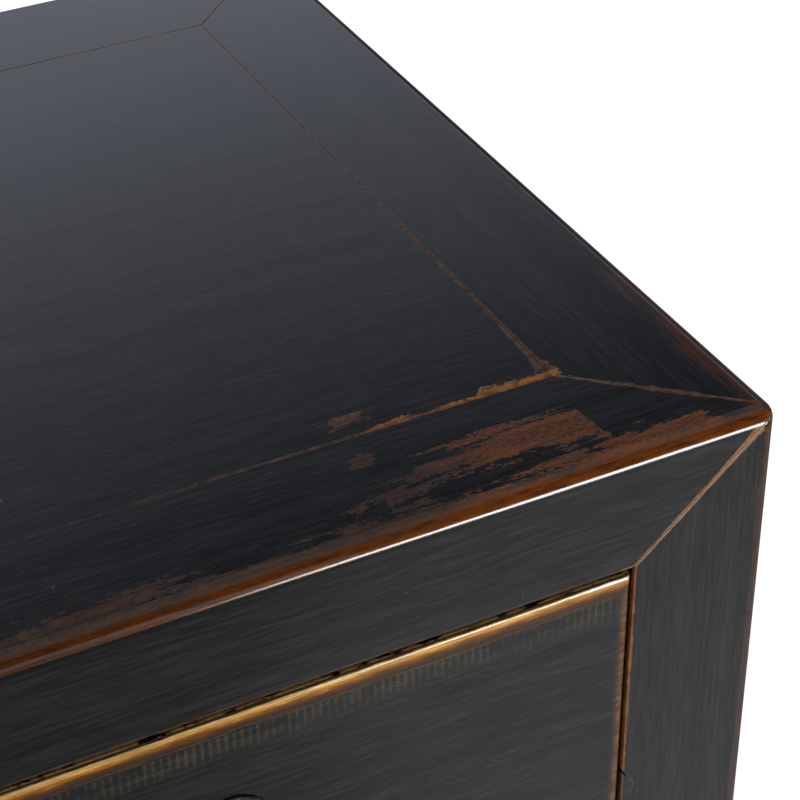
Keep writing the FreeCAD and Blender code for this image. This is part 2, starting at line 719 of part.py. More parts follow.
def mitred_frame(name, x_outer, x_inner, z_outer, z_inner, form, *tools):
    """Two stiles and two rails that meet in mitres, shaped to a common form."""
    outer = [(x_outer[0], z_outer[0]), (x_outer[0], z_outer[1]),
             (x_outer[1], z_outer[1]), (x_outer[1], z_outer[0])]
    inner = [(x_inner[0], z_inner[0]), (x_inner[0], z_inner[1]),
             (x_inner[1], z_inner[1]), (x_inner[1], z_inner[0])]
    members = []
    for index in range(4):
        after = (index + 1) % 4
        member = prism(f"{name}_member_{index}", "XZ_Plane",
                       [outer[index], outer[after], inner[after], inner[index]], "front", "fronts_back")
        shaped = common(f"{name}_member_{index}_form", member, form)
        members.append(cut(f"{name}_member_{index}", shaped, *tools))
    return group(f"{name}_set", *members)


post_leaves, pins = [], []
for side in SIDES:
    name = f"{side}_door"
    low_x = door_low_x[side]
    high_x = f"{low_x} + door_width"
    x_inside = (f"{low_x} + door_frame_width", f"{high_x} - door_frame_width")
    z_inside = ("door_bottom + door_frame_width", "door_top - door_frame_width")
    panel, panel_slot = tongued_panel(f"{name}_panel", x_inside,
                                      ("front", "front + door_panel_thickness"), z_inside, 1, True)
    piece(f"{name}_panel", panel)
    pull_x = f"{high_x} - door_frame_width / 2" if side == "left" else f"{low_x} + door_frame_width / 2"
    screw_hole = ring_pull(name, pull_x, "(door_bottom + door_top) / 2")
    form = front_blank(f"{name}_frame", (low_x, high_x), ("door_bottom", "door_top"))
    piece(f"{name}_frame", mitred_frame(f"{name}_frame", (low_x, high_x), x_inside,
                                        ("door_bottom", "door_top"), z_inside, form,
                                        panel_slot, screw_hole))
    door_leaves = []
    for place, middle in (("lower", "door_bottom + hinge_inset"), ("upper", "door_top - hinge_inset")):
        post_leaf, door_leaf, pin = hinge(f"{name}_{place}", side, middle)
        post_leaves.append(post_leaf)
        door_leaves.append(door_leaf)
        pins.append(pin)
    piece(f"{name}_hinge_leaves", group(f"{name}_leaf_pair", *door_leaves))
piece("hinge_post_leaves", group("post_leaf_set", *post_leaves))
piece("hinge_pins", group("pin_set", *pins))

doc.recompute()
for item in doc.Objects:
    if "Invalid" in item.State or "Error" in item.State:
        raise RuntimeError(f"{item.Label} did not build")
os.makedirs("parts", exist_ok=True)
for name, item in PIECES.items():
    if item.Shape.isNull() or not item.Shape.isValid() or not item.Shape.Solids:
        raise RuntimeError(f"{name} is not a sound solid")
    item.Shape.exportStep(f"parts/{name}.step")
    print(f"{name}: {len(item.Shape.Solids)} solid(s), {item.Shape.Volume / 1000:.1f} cm3")
print(f"{len(PIECES)} pieces")
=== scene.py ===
# %% [markdown]
# # A black lacquered sideboard
#
# The piece is a cupboard in the old manner: square members, flush panels, and at each upper corner
# three members that meet in mitres on all three faces. Black lacquer covers everything and has worn
# back to brown and gold along the arrises and joints.
#
# The construction arrives as a fixed frame. Each member that shows is then built again with softly
# rounded edges, in the same place, because wear and highlights live on those edges.

# %% Load the construction
import json
import math

import bmesh
import bpy
from mathutils import Matrix, Vector


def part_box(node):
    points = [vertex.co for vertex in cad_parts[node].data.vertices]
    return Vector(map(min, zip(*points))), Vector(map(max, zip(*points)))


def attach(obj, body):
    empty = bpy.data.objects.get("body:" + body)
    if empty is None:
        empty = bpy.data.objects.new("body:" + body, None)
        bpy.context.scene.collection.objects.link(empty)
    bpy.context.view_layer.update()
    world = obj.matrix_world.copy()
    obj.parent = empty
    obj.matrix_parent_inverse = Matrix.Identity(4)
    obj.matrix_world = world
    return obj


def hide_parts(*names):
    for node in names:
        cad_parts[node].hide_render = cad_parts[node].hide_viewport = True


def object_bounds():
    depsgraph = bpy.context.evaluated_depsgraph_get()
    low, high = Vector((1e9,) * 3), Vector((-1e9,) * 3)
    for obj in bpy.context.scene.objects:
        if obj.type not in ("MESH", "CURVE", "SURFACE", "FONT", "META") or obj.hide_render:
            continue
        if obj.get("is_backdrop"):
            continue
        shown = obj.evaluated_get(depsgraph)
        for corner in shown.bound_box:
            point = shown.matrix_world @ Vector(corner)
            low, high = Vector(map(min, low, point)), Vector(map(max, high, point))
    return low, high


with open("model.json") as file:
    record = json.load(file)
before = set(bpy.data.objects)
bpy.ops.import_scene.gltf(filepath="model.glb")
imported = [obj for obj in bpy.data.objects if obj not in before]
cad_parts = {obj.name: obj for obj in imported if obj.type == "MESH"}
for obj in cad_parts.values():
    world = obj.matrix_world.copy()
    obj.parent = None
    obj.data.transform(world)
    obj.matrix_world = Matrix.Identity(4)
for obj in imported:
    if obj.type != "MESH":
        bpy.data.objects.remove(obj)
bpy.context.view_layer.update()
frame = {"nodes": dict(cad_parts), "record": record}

bodies = frame["record"]["behaviour"]["bodies"]
body_of = {node: body for body, nodes in bodies.items() for node in nodes}

# %% [markdown]
# ## Places
#
# Nothing is measured twice. The rails and posts of the construction say where the outer faces, the
# joints and the mitres lie, and every later step uses these names.

# %% Places of the outer faces and joints
MM = 0.001
front_rail_low, front_rail_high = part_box("top_front_rail")
right_rail_low, right_rail_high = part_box("top_right_rail")
back_rail_low, back_rail_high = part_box("top_back_rail")
front_post_low, front_post_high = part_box("front_right_post")
left, right = -right_rail_high.x, right_rail_high.x
front, back = front_rail_low.y, back_rail_high.y
top, rail_under = front_rail_high.z, front_rail_low.z
front_joint = front_rail_high.y
back_joint = back_rail_low.y
side_joint = right_rail_low.x
post_inner = front_post_low.x
post_back = front_post_high.y
back_post_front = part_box("back_right_post")[0].y
rail_foot, rail_seat = (corner.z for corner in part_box("front_drawer_rail"))
print(f"outer faces: x {right:.3f}, y {front:.3f} to {back:.3f}, top {top:.3f} m")

# %% [markdown]
# ## Shapes that a joiner would recognise
#
# A member starts as a block with rounded arrises and is sawn to its mitres. Sawing a closed mesh with
# planes keeps it closed and gives exactly the facets that the real joint has. The alternative, drawing
# each member's corners by hand, would need dozens of points and would not follow the frame.

# %% Blocks, rounding and sawing
UP, ALONG, INTO = Vector((0, 0, 1)), Vector((1, 0, 0)), Vector((0, 1, 0))
SAW_REACH = 1e-7
SAME_PLACE = 1e-6


def cut(shape, place, normal, clear=False):
    """Cuts a shape with a plane, and with clear removes what lies beyond it."""
    everything = shape.verts[:] + shape.edges[:] + shape.faces[:]
    bmesh.ops.bisect_plane(shape, geom=everything, dist=SAW_REACH, plane_co=place, plane_no=normal,
                           clear_outer=clear)


def block(low, high):
    """A straight block between two corners."""
    low, high = Vector(low), Vector(high)
    shape = bmesh.new()
    placed = Matrix.Translation((low + high) / 2) @ Matrix.Diagonal((*(high - low), 1))
    bmesh.ops.create_cube(shape, size=1, matrix=placed)
    return shape


def round_edges(shape, chosen, radius, steps=8):
    """Rounds the edges that pass a test."""
    edges = [edge for edge in shape.edges if chosen(edge)]
    bmesh.ops.bevel(shape, geom=edges, offset=radius, segments=steps, profile=0.5, affect="EDGES")
    return shape


def saw(shape, first, second, direction, keep):
    """Saws a closed shape through two points and along a direction, and keeps the side of a point."""
    first, second = Vector(first), Vector(second)
    normal = (second - first).cross(direction).normalized()
    if (Vector(keep) - first).dot(normal) > 0:
        normal.negate()
    cut(shape, first, normal, clear=True)
    rim = [edge for edge in shape.edges if edge.is_boundary]
    if rim:
        bmesh.ops.contextual_create(shape, geom=rim)
    bmesh.ops.recalc_face_normals(shape, faces=shape.faces)
    return shape


print("block, round_edges and saw are ready")

# %% [markdown]
# Housings and pointed shoulders are let into solid wood, which sawing alone can't do. A boolean with
# the exact solver handles them: slower than sawing, but right where faces lie flush.

# %% Letting one shape into another


def new_object(name, data):
    """An object in the scene, with its data."""
    item = bpy.data.objects.new(name, data)
    bpy.context.scene.collection.objects.link(item)
    return item


def shape_object(name, shape):
    """An object from a shape, which is freed."""
    mesh = bpy.data.meshes.new(name)
    shape.to_mesh(mesh)
    shape.free()
    return new_object(name, mesh)


def result_of(item):
    """A mesh with the result of an object's modifiers."""
    return bpy.data.meshes.new_from_object(item.evaluated_get(bpy.context.evaluated_depsgraph_get()))


def apply_modifiers(item):
    """Gives an object the result of its modifiers as its own mesh."""
    item.data = result_of(item)
    item.data.name = item.name
    item.modifiers.clear()
    return item


def combine(shape, others, operation="DIFFERENCE"):
    """Cuts other closed shapes out of a shape, or unites them with it."""
    base = shape_object("scratch", shape)
    tools = [shape_object("scratch", other) for other in others]
    for tool in tools:
        modifier = base.modifiers.new("combine", "BOOLEAN")
        modifier.object = tool
        modifier.operation = operation
        modifier.solver = "EXACT"
    mesh = result_of(base)
    result = bmesh.new()
    result.from_mesh(mesh)
    for item in [base, *tools]:
        bpy.data.objects.remove(item)
    bpy.data.meshes.remove(mesh)
    return result


print("combine is ready")

# %% [markdown]
# ## From shape to finished piece
#
# Real edges are never sharp: every remaining edge is eased by a fraction of a millimetre, so that each
# joint between two members becomes a fine groove that catches light and dust.
#
# The finish needs to know how near a point is to a joint, to an arris and along which way the brush
# went. Distances to straight lines are linear over a flat face, so storing them at the face's corners
# is exact everywhere between, at any zoom and without a dense mesh. Three layers hold them:
# - `grain`, a UV map: along the member, and round it
# - `seam`: distances to up to four joint edges of the face
# - `rim`: distances below the top, above the foot, from the left and from the right of the outline

# %% Layers that tell the finish where it is
SHARP = math.radians(30)
EASE = 0.3 * MM
FAR = 1.0
SEAMS = 4
NO_LENGTH = 1e-9


def border_lines(face, eased):
    """Lines of a face's edges that meet an eased edge, the longest first."""
    lines = {}
    for edge in face.edges:
        if not any(other in eased for other in edge.link_faces):
            continue
        start, end = (vertex.co for vertex in edge.verts)
        length = (end - start).length
        if length < NO_LENGTH:
            continue
        direction = (end - start) / length
        foot = start - direction * start.dot(direction)
        key = tuple(round(value, 5) for value in foot)
        held = lines.get(key, (0, None, None))
        lines[key] = (held[0] + length, start.copy(), direction)
    return sorted(lines.values(), key=lambda line: -line[0])[:SEAMS]


def measure(shape, eased, outline, along):
    """Writes the three layers of a piece."""
    grain = shape.loops.layers.uv.new("grain")
    seam = shape.loops.layers.float_color.new("seam")
    rim = shape.loops.layers.float_color.new("rim")
    low, high = outline
    across = [axis for axis in range(3) if axis != along]
    for face in shape.faces:
        lines = [] if face in eased else border_lines(face, eased)
        for loop in face.loops:
            point = loop.vert.co
            loop[grain].uv = (point[along], point[across[0]] + point[across[1]])
            gaps = [0.0] if face in eased else [
                (point - start).cross(direction).length for _, start, direction in lines]
            loop[seam] = (gaps + [FAR] * SEAMS)[:SEAMS]
            loop[rim] = (high.z - point.z, point.z - low.z, point.x - low.x, high.x - point.x)


print("measure writes grain, seam and rim")

# %% Turning a shape into a piece
CARCASS = (Vector((left, front, 0)), Vector((right, back, top)))
made = {}


def finish_mesh(name, shape, along, outline, ease):
    """Eases a shape's sharp edges, measures it and smooths its shading."""
    bmesh.ops.recalc_face_normals(shape, faces=shape.faces)
    sharp = [edge for edge in shape.edges if edge.is_manifold and edge.calc_face_angle() > SHARP]
    result = bmesh.ops.bevel(shape, geom=sharp, offset=ease, segments=2, profile=0.5, affect="EDGES")
    measure(shape, set(result["faces"]), outline, along)
    for face in shape.faces:
        face.smooth = True
    item = shape_object(name, shape)
    item.modifiers.new("flat_faces_shade_flat", "WEIGHTED_NORMAL")
    return apply_modifiers(item)


def add_piece(node, shape, along, material, slot="black_lacquer", outline=CARCASS, ease=EASE):
    """Makes the piece that stands for a node, on the node's body."""
    item = finish_mesh(f"{node}_piece", shape, along, outline, ease)
    item.data.materials.append(material)
    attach(item, body_of[node])
    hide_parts(node)
    made[node] = item
    return item


print("finish_mesh and add_piece are ready")

# %% [markdown]
# ## Words for finishes
#
# A finish is a sum of many small effects. Written node by node it would be hundreds of lines, so the
# outputs of nodes get a few plain words here: noise, step, mix and the signs of arithmetic. Each word
# adds one node and gives its output, and the tree stays an ordinary one that opens in the shader editor.

# %% Values of a node tree and their words


def feed(socket, value):
    """Links a value to a socket, or sets the socket to a plain number, colour or vector."""
    if isinstance(value, Value):
        socket.id_data.links.new(value.socket, socket)
    else:
        socket.default_value = value


def add_node(tree, kind, sockets=(), **settings):
    """Adds a node with its settings and what some of its sockets get."""
    node = tree.nodes.new(kind)
    for key, value in settings.items():
        setattr(node, key, value)
    for place, value in dict(sockets).items():
        feed(node.inputs[place], value)
    return node


def sign(operation, turned=False):
    """A sign of arithmetic. Turned is for a plain number that stands before the value."""
    def apply(value, other):
        pair = (other, value) if turned else (value, other)
        return value.node("ShaderNodeMath", enumerate(pair), operation=operation)
    return apply


class Value:
    """An output of a node, with signs and words that add nodes after it."""

    __add__, __radd__ = sign("ADD"), sign("ADD", True)
    __sub__, __rsub__ = sign("SUBTRACT"), sign("SUBTRACT", True)
    __mul__, __truediv__ = sign("MULTIPLY"), sign("DIVIDE")
    lower, higher = sign("MINIMUM"), sign("MAXIMUM")

    def __init__(self, socket):
        self.socket = socket

    def node(self, kind, sockets, out=0, **settings):
        """Adds a node to the value's tree and gives one of its outputs."""
        return Value(add_node(self.socket.id_data, kind, sockets, **settings).outputs[out])

    def __abs__(self):
        return self.node("ShaderNodeMath", {0: self}, operation="ABSOLUTE")

    def sine(self):
        return self.node("ShaderNodeMath", {0: self}, operation="SINE")

    def step(self, low, high, start=0.0, end=1.0):
        """A smooth step from one number to another as the value goes from low to high."""
        sockets = {0: self, 1: low, 2: high, 3: start, 4: end}
        return self.node("ShaderNodeMapRange", sockets, interpolation_type="SMOOTHSTEP")

    def step_mm(self, low, high, *ends):
        """The same step, with its limits in millimetres."""
        return self.step(low * MM, high * MM, *ends)

    def mix(self, low, high):
        """A colour between two, with the value as the share of the second."""
        return self.node("ShaderNodeMix", {0: self, 6: low, 7: high}, 2, data_type="RGBA")

    def stretch(self, scale, shift=(0, 0, 0)):
        """Scales a vector by its own axes, so that a noise on it is drawn out."""
        return self.node("ShaderNodeMapping", {"Vector": self, "Scale": scale, "Location": shift})

    def noise(self, scale, detail=2.0, roughness=0.5, distortion=0.0):
        """A noise on a vector. Three scales draw it out along the axis of the smallest."""
        place, scale = (self.stretch(scale), 1.0) if isinstance(scale, tuple) else (self, scale)
        sockets = {"Vector": place, "Scale": scale, "Detail": detail, "Roughness": roughness,
                   "Distortion": distortion}
        return self.node("ShaderNodeTexNoise", sockets)

    def swing(self, size):
        """A noise about zero, with its size in millimetres."""
        return (self - 0.5) * (size * MM)

    def vector(self, operation, *others):
        """A number from one or two vectors."""
        return self.node("ShaderNodeVectorMath", enumerate((self, *others)), "Value", operation=operation)

    def split(self):
        outputs = add_node(self.socket.id_data, "ShaderNodeSeparateXYZ", {0: self}).outputs
        return [Value(output) for output in outputs]

    def ramp(self, stops):
        """Colour and cover between a few stops, each a place and a colour."""
        node = add_node(self.socket.id_data, "ShaderNodeValToRGB", {0: self})
        elements = node.color_ramp.elements
        while len(elements) < len(stops):
            elements.new(0.5)
        for element, (place, colour) in zip(elements, stops):
            element.position = place
            element.color = colour
        return Value(node.outputs["Color"]), Value(node.outputs["Alpha"])


def least(first, *others):
    for other in others:
        first = first.lower(other)
    return first


def most(first, *others):
    for other in others:
        first = first.higher(other)
    return first


print("values have their words")

# %% A finish


class Finish:
    """A material, with the places that a finish starts from."""

    def __init__(self, name):
        self.material = bpy.data.materials.new(name)
        self.material.use_nodes = True
        self.tree = self.material.node_tree
        self.shader = self.tree.nodes["Principled BSDF"]

    def place(self):
        """Object coordinates, in metres in the frame."""
        return Value(add_node(self.tree, "ShaderNodeTexCoord").outputs["Object"])

    def grain(self):
        return Value(add_node(self.tree, "ShaderNodeUVMap", uv_map="grain").outputs[0])

    def layer(self, name):
        """The four values of a stored layer."""
        found = add_node(self.tree, "ShaderNodeAttribute", attribute_name=name).outputs
        colours = add_node(self.tree, "ShaderNodeSeparateColor", {0: Value(found["Color"])}).outputs
        return [Value(output) for output in (*colours[:3], found["Alpha"])]

    def surface(self, colour, roughness, height=None, depth=0.05 * MM, **constants):
        """Feeds the shader. Constants go on its own sockets."""
        feed(self.shader.inputs["Base Color"], colour)
        feed(self.shader.inputs["Roughness"], roughness)
        if height is not None:
            feed(self.shader.inputs["Normal"],
                 height.node("ShaderNodeBump", {"Height": height, "Distance": depth, "Strength": 1.0}))
        for name, value in constants.items():
            self.shader.inputs[name.replace("_", " ")].default_value = value
        return self.material


print("Finish is ready")

# %% [markdown]
# ## The black lacquer
#
# The black is a brushed natural lacquer, nearly black in itself: what the eye reads as its grey is the
# room, mirrored by a satin surface. So the colour stays very dark and the brush marks go into the
# colour, the roughness and the relief at once.
#
# Wear follows hands and cloths. It is strongest on the arris of the top, weaker along joints, and it
# comes in layers: a thin rubbed brown first, then rust, then gold where the wood shows.

# %% Colours of the lacquer and what lies under it
BLACK = (0.0010, 0.0010, 0.0012, 1)
SOOT = (0.0092, 0.0088, 0.0090, 1)
# The near-black below is a painted reflection: it darkens a band under the front arris for the dark room
# mirrored there.
PAINTED_REFLECTION_BLACK = (0.0006, 0.0005, 0.0005, 1)
BURNT = (0.0130, 0.0045, 0.0010, 1)
RUST = (0.0740, 0.0190, 0.0015, 1)
AMBER = (0.1300, 0.0350, 0.0030, 1)
ARRIS = (0.0650, 0.0160, 0.0015, 1)
HONEY = (0.1700, 0.0660, 0.0100, 1)
GLIMPSE = (0.7200, 0.4300, 0.1400, 1)
UMBER = (0.0560, 0.0240, 0.0090, 1)
TAN = (0.1150, 0.0540, 0.0210, 1)
OLIVE = (0.0290, 0.0245, 0.0130, 1)
DUST = (0.1200, 0.1250, 0.1350, 1)
LACQUER_IOR = 1.30


def brushed(grain):
    """Fine brush marks along a member, from 0 to 1, and a slow swell below them."""
    fine = grain.noise((45, 720, 1), detail=4, roughness=0.70)
    broad = grain.noise((3, 90, 1), detail=3)
    return fine, broad


def ground(grain):
    """The unworn black with its brush marks."""
    fine, broad = brushed(grain)
    marks = fine * 0.75 + broad * 0.35
    return marks.step(0.42, 0.74).mix(BLACK, SOOT), fine, broad


def dusted(point, colour):
    """Adds a little dust."""
    cloud = point.noise(700, detail=1, roughness=0.4)
    sparse = point.noise(17, detail=2)
    specks = cloud.step(0.77, 0.80) * sparse.step(0.50, 0.60)
    return (specks * 0.22).mix(colour, DUST)


def scratched(point, colour, share):
    """Adds fine pale hair lines, where the share allows them."""
    path = point.noise((12, 40, 40), detail=0)
    near = abs(path - 0.5).step(0.0035, 0.0010)
    broken = point.noise(60, detail=4, roughness=0.7)
    line = near * broken.step(0.56, 0.63) * share
    return (line * 0.22).mix(colour, DUST)


def layers(depth, stops):
    """Colour and cover of wear that changes with the depth from an edge, from stops in millimetres."""
    deepest = stops[-1][0]
    shades = [(place / deepest, (*colour, cover)) for place, colour, cover in stops]
    return (depth / (deepest * MM)).ramp(shades)


print("colours of the lacquer are ready")

# %% [markdown]
# ### Where the top is rubbed through
#
# The rubbed band along the front is narrow in the middle and opens out near the corners, where people
# lean and set things down. A ramp gives its width along X, islands of whole lacquer stay in it, and a
# few separate spots lie behind it. The border isn't a line: a strong noise, drawn out along X as the
# cloth moved, is added to the depth inside the zone, so it breaks up into streaks and flecks.

# %% The rubbed field of the top
BAND_WIDTHS = [(0, 7), (240, 9), (262, 12), (298, 6), (334, 7), (348, 17), (380, 26), (415, 31),
               (430, 30), (433, 9), (464, 10), (470, 2)]
BAND_MOST = 40
ISLANDS = [((388, 11.5), (30, 6)), ((425, 12), (5, 4)), ((318, 6.4), (18, 1.8)), ((350, 14), (5, 7))]
BARE_SPOTS = [((360, 58.5), (8, 2.0)), ((357, 37), (4, 3.0)), ((402, 31.5), (18, 2.4))]


def width_along(x, stops, widest):
    """A width in metres that changes with a distance, from a few given stops in millimetres."""
    span = stops[-1][0] * 1.1
    shades = [(place / span, (width / widest,) * 3 + (1,)) for place, width in stops]
    return (x / (span * MM)).ramp(shades)[0] * (widest * MM)


def spot(spread, centre, half):
    """How deep a point lies in an oval spot, 1 at its middle and 0 at its border."""
    scale = [1 / (side * MM) for side in half]
    shift = [-place / side for place, side in zip(centre, half)]
    placed = spread.stretch((*scale, 0), (*shift, 0))
    return 1.0 - placed.vector("LENGTH")


def rubbed_field(across, behind):
    """How far inside the rubbed zone a point of the top lies, in metres, negative outside."""
    spread = across.node("ShaderNodeCombineXYZ", {0: across, 1: behind})
    inside = width_along(across, BAND_WIDTHS, BAND_MOST) - behind
    for centre, half in ISLANDS:
        hole = spot(spread, centre, half) * (-min(half) * MM)
        inside = least(inside, hole)
    for centre, half in BARE_SPOTS:
        patch = spot(spread, centre, half) * (2.5 * min(half) * MM)
        inside = most(inside, patch)
    return inside


print(len(ISLANDS), "islands and", len(BARE_SPOTS), "bare spots")

# %% [markdown]
# ### Worn joints of the top
#
# A joint shows as a hair line for most of its length. Towards the corner where three members meet the
# filler has come out and the line opens to a few millimetres, in separate lens shapes. Ramps give the
# width: one for the joint along the front, one for the joint along the side, one for the mitre.

# %% Joints of the top
FRONT_WIDTHS = [(0, 2.6), (8, 3.3), (24, 3.2), (28, 0.5), (33, 1.1), (39, 1.3), (44, 0.6), (48, 0.6),
                (51, 1.8), (57, 2.0), (62, 1.3), (67, 0.35), (112, 0.25), (150, 0.2)]
SIDE_WIDTHS = [(0, 3.0), (6, 2.4), (10, 1.5), (16, 1.0), (26, 1.0), (34, 0.45), (150, 0.3)]
MITRE_WIDTHS = [(0, 0.3), (434, 0.3), (446, 0.5), (456, 0.9), (468, 0.8), (474, 0.4)]
JOINT_MOST = 4
MITRE_END = (-0.2 * MM, -1.2 * MM)
SIDE_START = (1.5 * MM, 3 * MM)


def joint_line(point, across, behind, gap):
    """The worn joint line, its shares on front joint and mitre, the distance from the side joint, grit."""
    joint = front_joint - front
    off_x = abs(across - side_joint)
    on_mitre = behind.step(*(joint + end for end in MITRE_END))
    on_side = behind.step(*(joint + end for end in SIDE_START)) * off_x.step_mm(14, 10)
    on_front = 1.0 - on_mitre - on_side
    on_front = on_front * behind.step_mm(200, 160, 0.15, 1.0)
    width = (on_front * width_along(off_x, FRONT_WIDTHS, JOINT_MOST)
             + on_side * width_along(behind - joint, SIDE_WIDTHS, JOINT_MOST)
             + on_mitre * width_along(across, MITRE_WIDTHS, JOINT_MOST))
    tooth = point.noise((210, 260, 260), detail=5, roughness=0.75)
    ragged = tooth.step(0.30, 0.64, 0.05, 1.45)
    line = (gap / (width * ragged)).step(1.1, 0.8)
    return line, on_front, on_mitre, off_x, tooth


print("joint_line is ready")

# %% [markdown]
# ### Lacquer of the carcass
#
# The parts come together here. The front arris is worn to brown along its whole length. Under it a
# painted dark line, which stands for the dark room that the face mirrors just below the arris, parts
# it from the black of the face. Wear is brightest at the corner and dies down towards the middle of
# the front, where it is hardly more than a brown shade in the black.

# %% Worn black lacquer for frame members and panels
SIDE_BAND = [(0, 12), (60, 11), (120, 6), (200, 2)]
FACE_WIDTHS = [(0, 1.1), (8, 1.0), (14, 1.6), (28, 1.5), (34, 2.2), (40, 3.6), (44, 4.2)]
SIDE_MOST, FACE_MOST = 15, 5
GLINT = (0.50, 0.50, 0.50, 1)
ROUGHNESS, BRUSH_ROUGHNESS = 0.06, 0.09
FINE_RELIEF, BROAD_RELIEF = 0.32, 0.15


def carcass_lacquer():
    finish = Finish("worn_black_lacquer")
    point, grain = finish.place(), finish.grain()
    x, y, z = point.split()
    below_top, _, from_left, from_right = finish.layer("rim")
    gap = least(*finish.layer("seam"))
    colour, fine, broad = ground(grain)
    across = abs(x)
    behind = y - front
    side = least(from_left, from_right)
    ends = least(behind, back - y)
    on_top = below_top.step_mm(3.0, 1.0)
    on_face = behind.step_mm(2, 1)
    streak = point.noise((42, 260, 260), detail=6, roughness=0.72)
    fleck = point.noise((480, 1100, 1100), detail=3, roughness=0.65)
    mottle = point.noise((150, 260, 260), detail=4, roughness=0.7)
    rough_edge = streak.swing(34) + fleck.swing(11)

    # Rubbed zone of the top
    inside = rubbed_field(across, behind) + rough_edge
    rubbed = inside.step_mm(0.0, 0.5) * on_top
    whole = mottle.step(0.60, 0.66) * behind.step_mm(7, 12)
    rubbed = rubbed * (1.0 - whole)
    strength = most(across.step_mm(360, 404, 0.32, 1.0),
                    most(behind.step_mm(4, 0.5, 0.0, 0.55), behind.step_mm(28, 56, 0.0, 0.8)))
    brown = fleck.step(0.36, 0.60).mix(BURNT, RUST)
    brown = (streak.step(0.48, 0.62) * 0.45).mix(brown, AMBER)
    brown = (fine.step(0.52, 0.66) * 0.7).mix(brown, BURNT)
    brown = strength.mix(BLACK, brown)
    colour = (rubbed * 0.95).mix(colour, brown)
    hem = (inside.step_mm(-5, 0.0) * mottle.step(0.50, 0.60) * on_top
           * across.step_mm(345, 325, 0.45, 1.0))
    colour = (hem * 0.40).mix(colour, OLIVE)

    # Bands along the side arrises of the top, and a little at the head of the upright ones
    along_side = point.noise((330, 42, 330), detail=6, roughness=0.75)
    side_width = width_along(behind, SIDE_BAND, SIDE_MOST)
    side_depth = side_width - (side + below_top)
    side_depth = side_depth + along_side.swing(40)
    side_worn = side_depth.step_mm(0.0, 4) * on_top * side.step_mm(26, 8)
    colour = (side_worn * 0.55).mix(colour, fleck.mix(BURNT, RUST))
    upright = streak * (3.4 * MM) - (side + ends - 4 * MM)
    head = below_top.step_mm(16, 8, 0.40, 0.80)
    head_colour = fleck.step(0.40, 0.60).mix(BURNT, UMBER)
    colour = (upright.step_mm(-0.3, 0.5) * head).mix(colour, head_colour)

    # The front arris is worn through along its whole length
    flake = fleck.swing(1.6)
    worn_face = (below_top + flake * 0.35).step_mm(5.9, 5.5)
    worn_top = (behind + flake).step_mm(4.2, 1.2)
    grained = point.noise((110, 1100, 1100), detail=4, roughness=0.7)
    arris_colour = grained.step(0.30, 0.58).mix(BURNT, ARRIS)
    arris_colour = across.step_mm(225, 410, 0.45, 1.0).mix(BURNT, arris_colour)
    colour = (worn_face * worn_top).mix(colour, arris_colour)
    # Painted reflection: a near-black band just under the arris stands for the dark room that the face
    # mirrors there.
    border = below_top.step_mm(5.2, 5.7) * below_top.step_mm(7.4, 6.4) * on_face
    colour = border.mix(colour, PAINTED_REFLECTION_BLACK)

    # Joints of the top
    line, on_front, on_mitre, off_x, tooth = joint_line(point, across, behind, gap)
    open_joint = on_front * off_x.step_mm(76, 58)
    filler = tooth.step(0.40, 0.60).mix(RUST, HONEY)
    line_colour = open_joint.mix(tooth.step(0.38, 0.60).mix(BURNT, UMBER), filler)
    line_top = line * on_top * off_x.step_mm(190, 80, 0.35, 1.0)
    colour = line_top.mix(colour, line_colour)
    glint = (gap.step_mm(0.9, 0.5) * fleck.step(0.66, 0.70) * on_mitre * on_top
             * across.step_mm(447, 440) * across.step(side_joint, side_joint + 1 * MM))
    colour = glint.mix(colour, GLINT)

    # Mitres of the faces
    rise = z - rail_under
    thick = width_along(rise, FACE_WIDTHS, FACE_MOST)
    face_line = (gap / (tooth * thick)).step(1.15, 0.75)
    slope = (right - post_inner) / (top - rail_under)
    off_mitre = across - post_inner - rise * slope
    face_line = (face_line * below_top.step_mm(2, 5) * on_face * abs(off_mitre).step_mm(7, 5)
                 * rise.step_mm(-2, 0.0))
    colour = face_line.mix(colour, fleck.step(0.34, 0.56).mix(UMBER, TAN))

    # Inner arris of the posts beside the drawers, and faintly the lower arris of the top rail
    beside = abs(across - post_inner)
    over = abs(z - rail_under)
    narrow = tooth.step(0.25, 0.70, 0.6 * MM, 1.4 * MM)
    on_post = ((beside / narrow).step(1.2, 0.6) * z.step(rail_under + 1 * MM, rail_under) * on_face
               * z.step(rail_seat - 1 * MM, rail_seat + 0.5 * MM, 0.35, 1.0))
    colour = (on_post * 0.95).mix(colour, tooth.step(0.40, 0.75).mix(RUST, TAN))
    on_rail = ((over / narrow).step(1.1, 0.6) * on_face
               * across.step(post_inner + 1 * MM, post_inner - 1 * MM) * mottle.step(0.35, 0.65, 0.15, 0.6)
               * across.step_mm(330, 380, 1.0, 0.4))
    colour = on_rail.mix(colour, UMBER)

    # The pointed shoulder in the post has a pale line along its edges, mostly the upper one
    point_middle = (rail_seat + rail_foot) / 2
    near_point = (across.step(post_inner - 1 * MM, post_inner + 1 * MM) * on_face
                  * z.step(rail_seat + 3 * MM, rail_seat + 1 * MM)
                  * z.step(rail_foot - 3 * MM, rail_foot - 1 * MM))
    edge_line = (gap / (0.3 * MM + tooth * (0.8 * MM))).step(1.1, 0.6) * near_point
    upper = z.step(point_middle - 1 * MM, point_middle + 2 * MM, 0.25, 1.0)
    colour = (edge_line * upper * 0.5).mix(colour, OLIVE)

    hairs = (on_top * across.step_mm(350, 335) * behind.step_mm(16, 24)
             * behind.step_mm(85, 75))
    colour = scratched(point, dusted(point, colour), hairs)

    on_arris = (least(behind, side) + below_top).step_mm(7.0, 5.0)
    rough = ROUGHNESS + fine * BRUSH_ROUGHNESS + on_arris * 0.02 + rubbed * 0.12
    height = fine * FINE_RELIEF + broad * BROAD_RELIEF + rubbed * -0.3 + line_top * -0.6 + edge_line * -0.4
    return finish.surface(colour, rough, height, IOR=LACQUER_IOR)


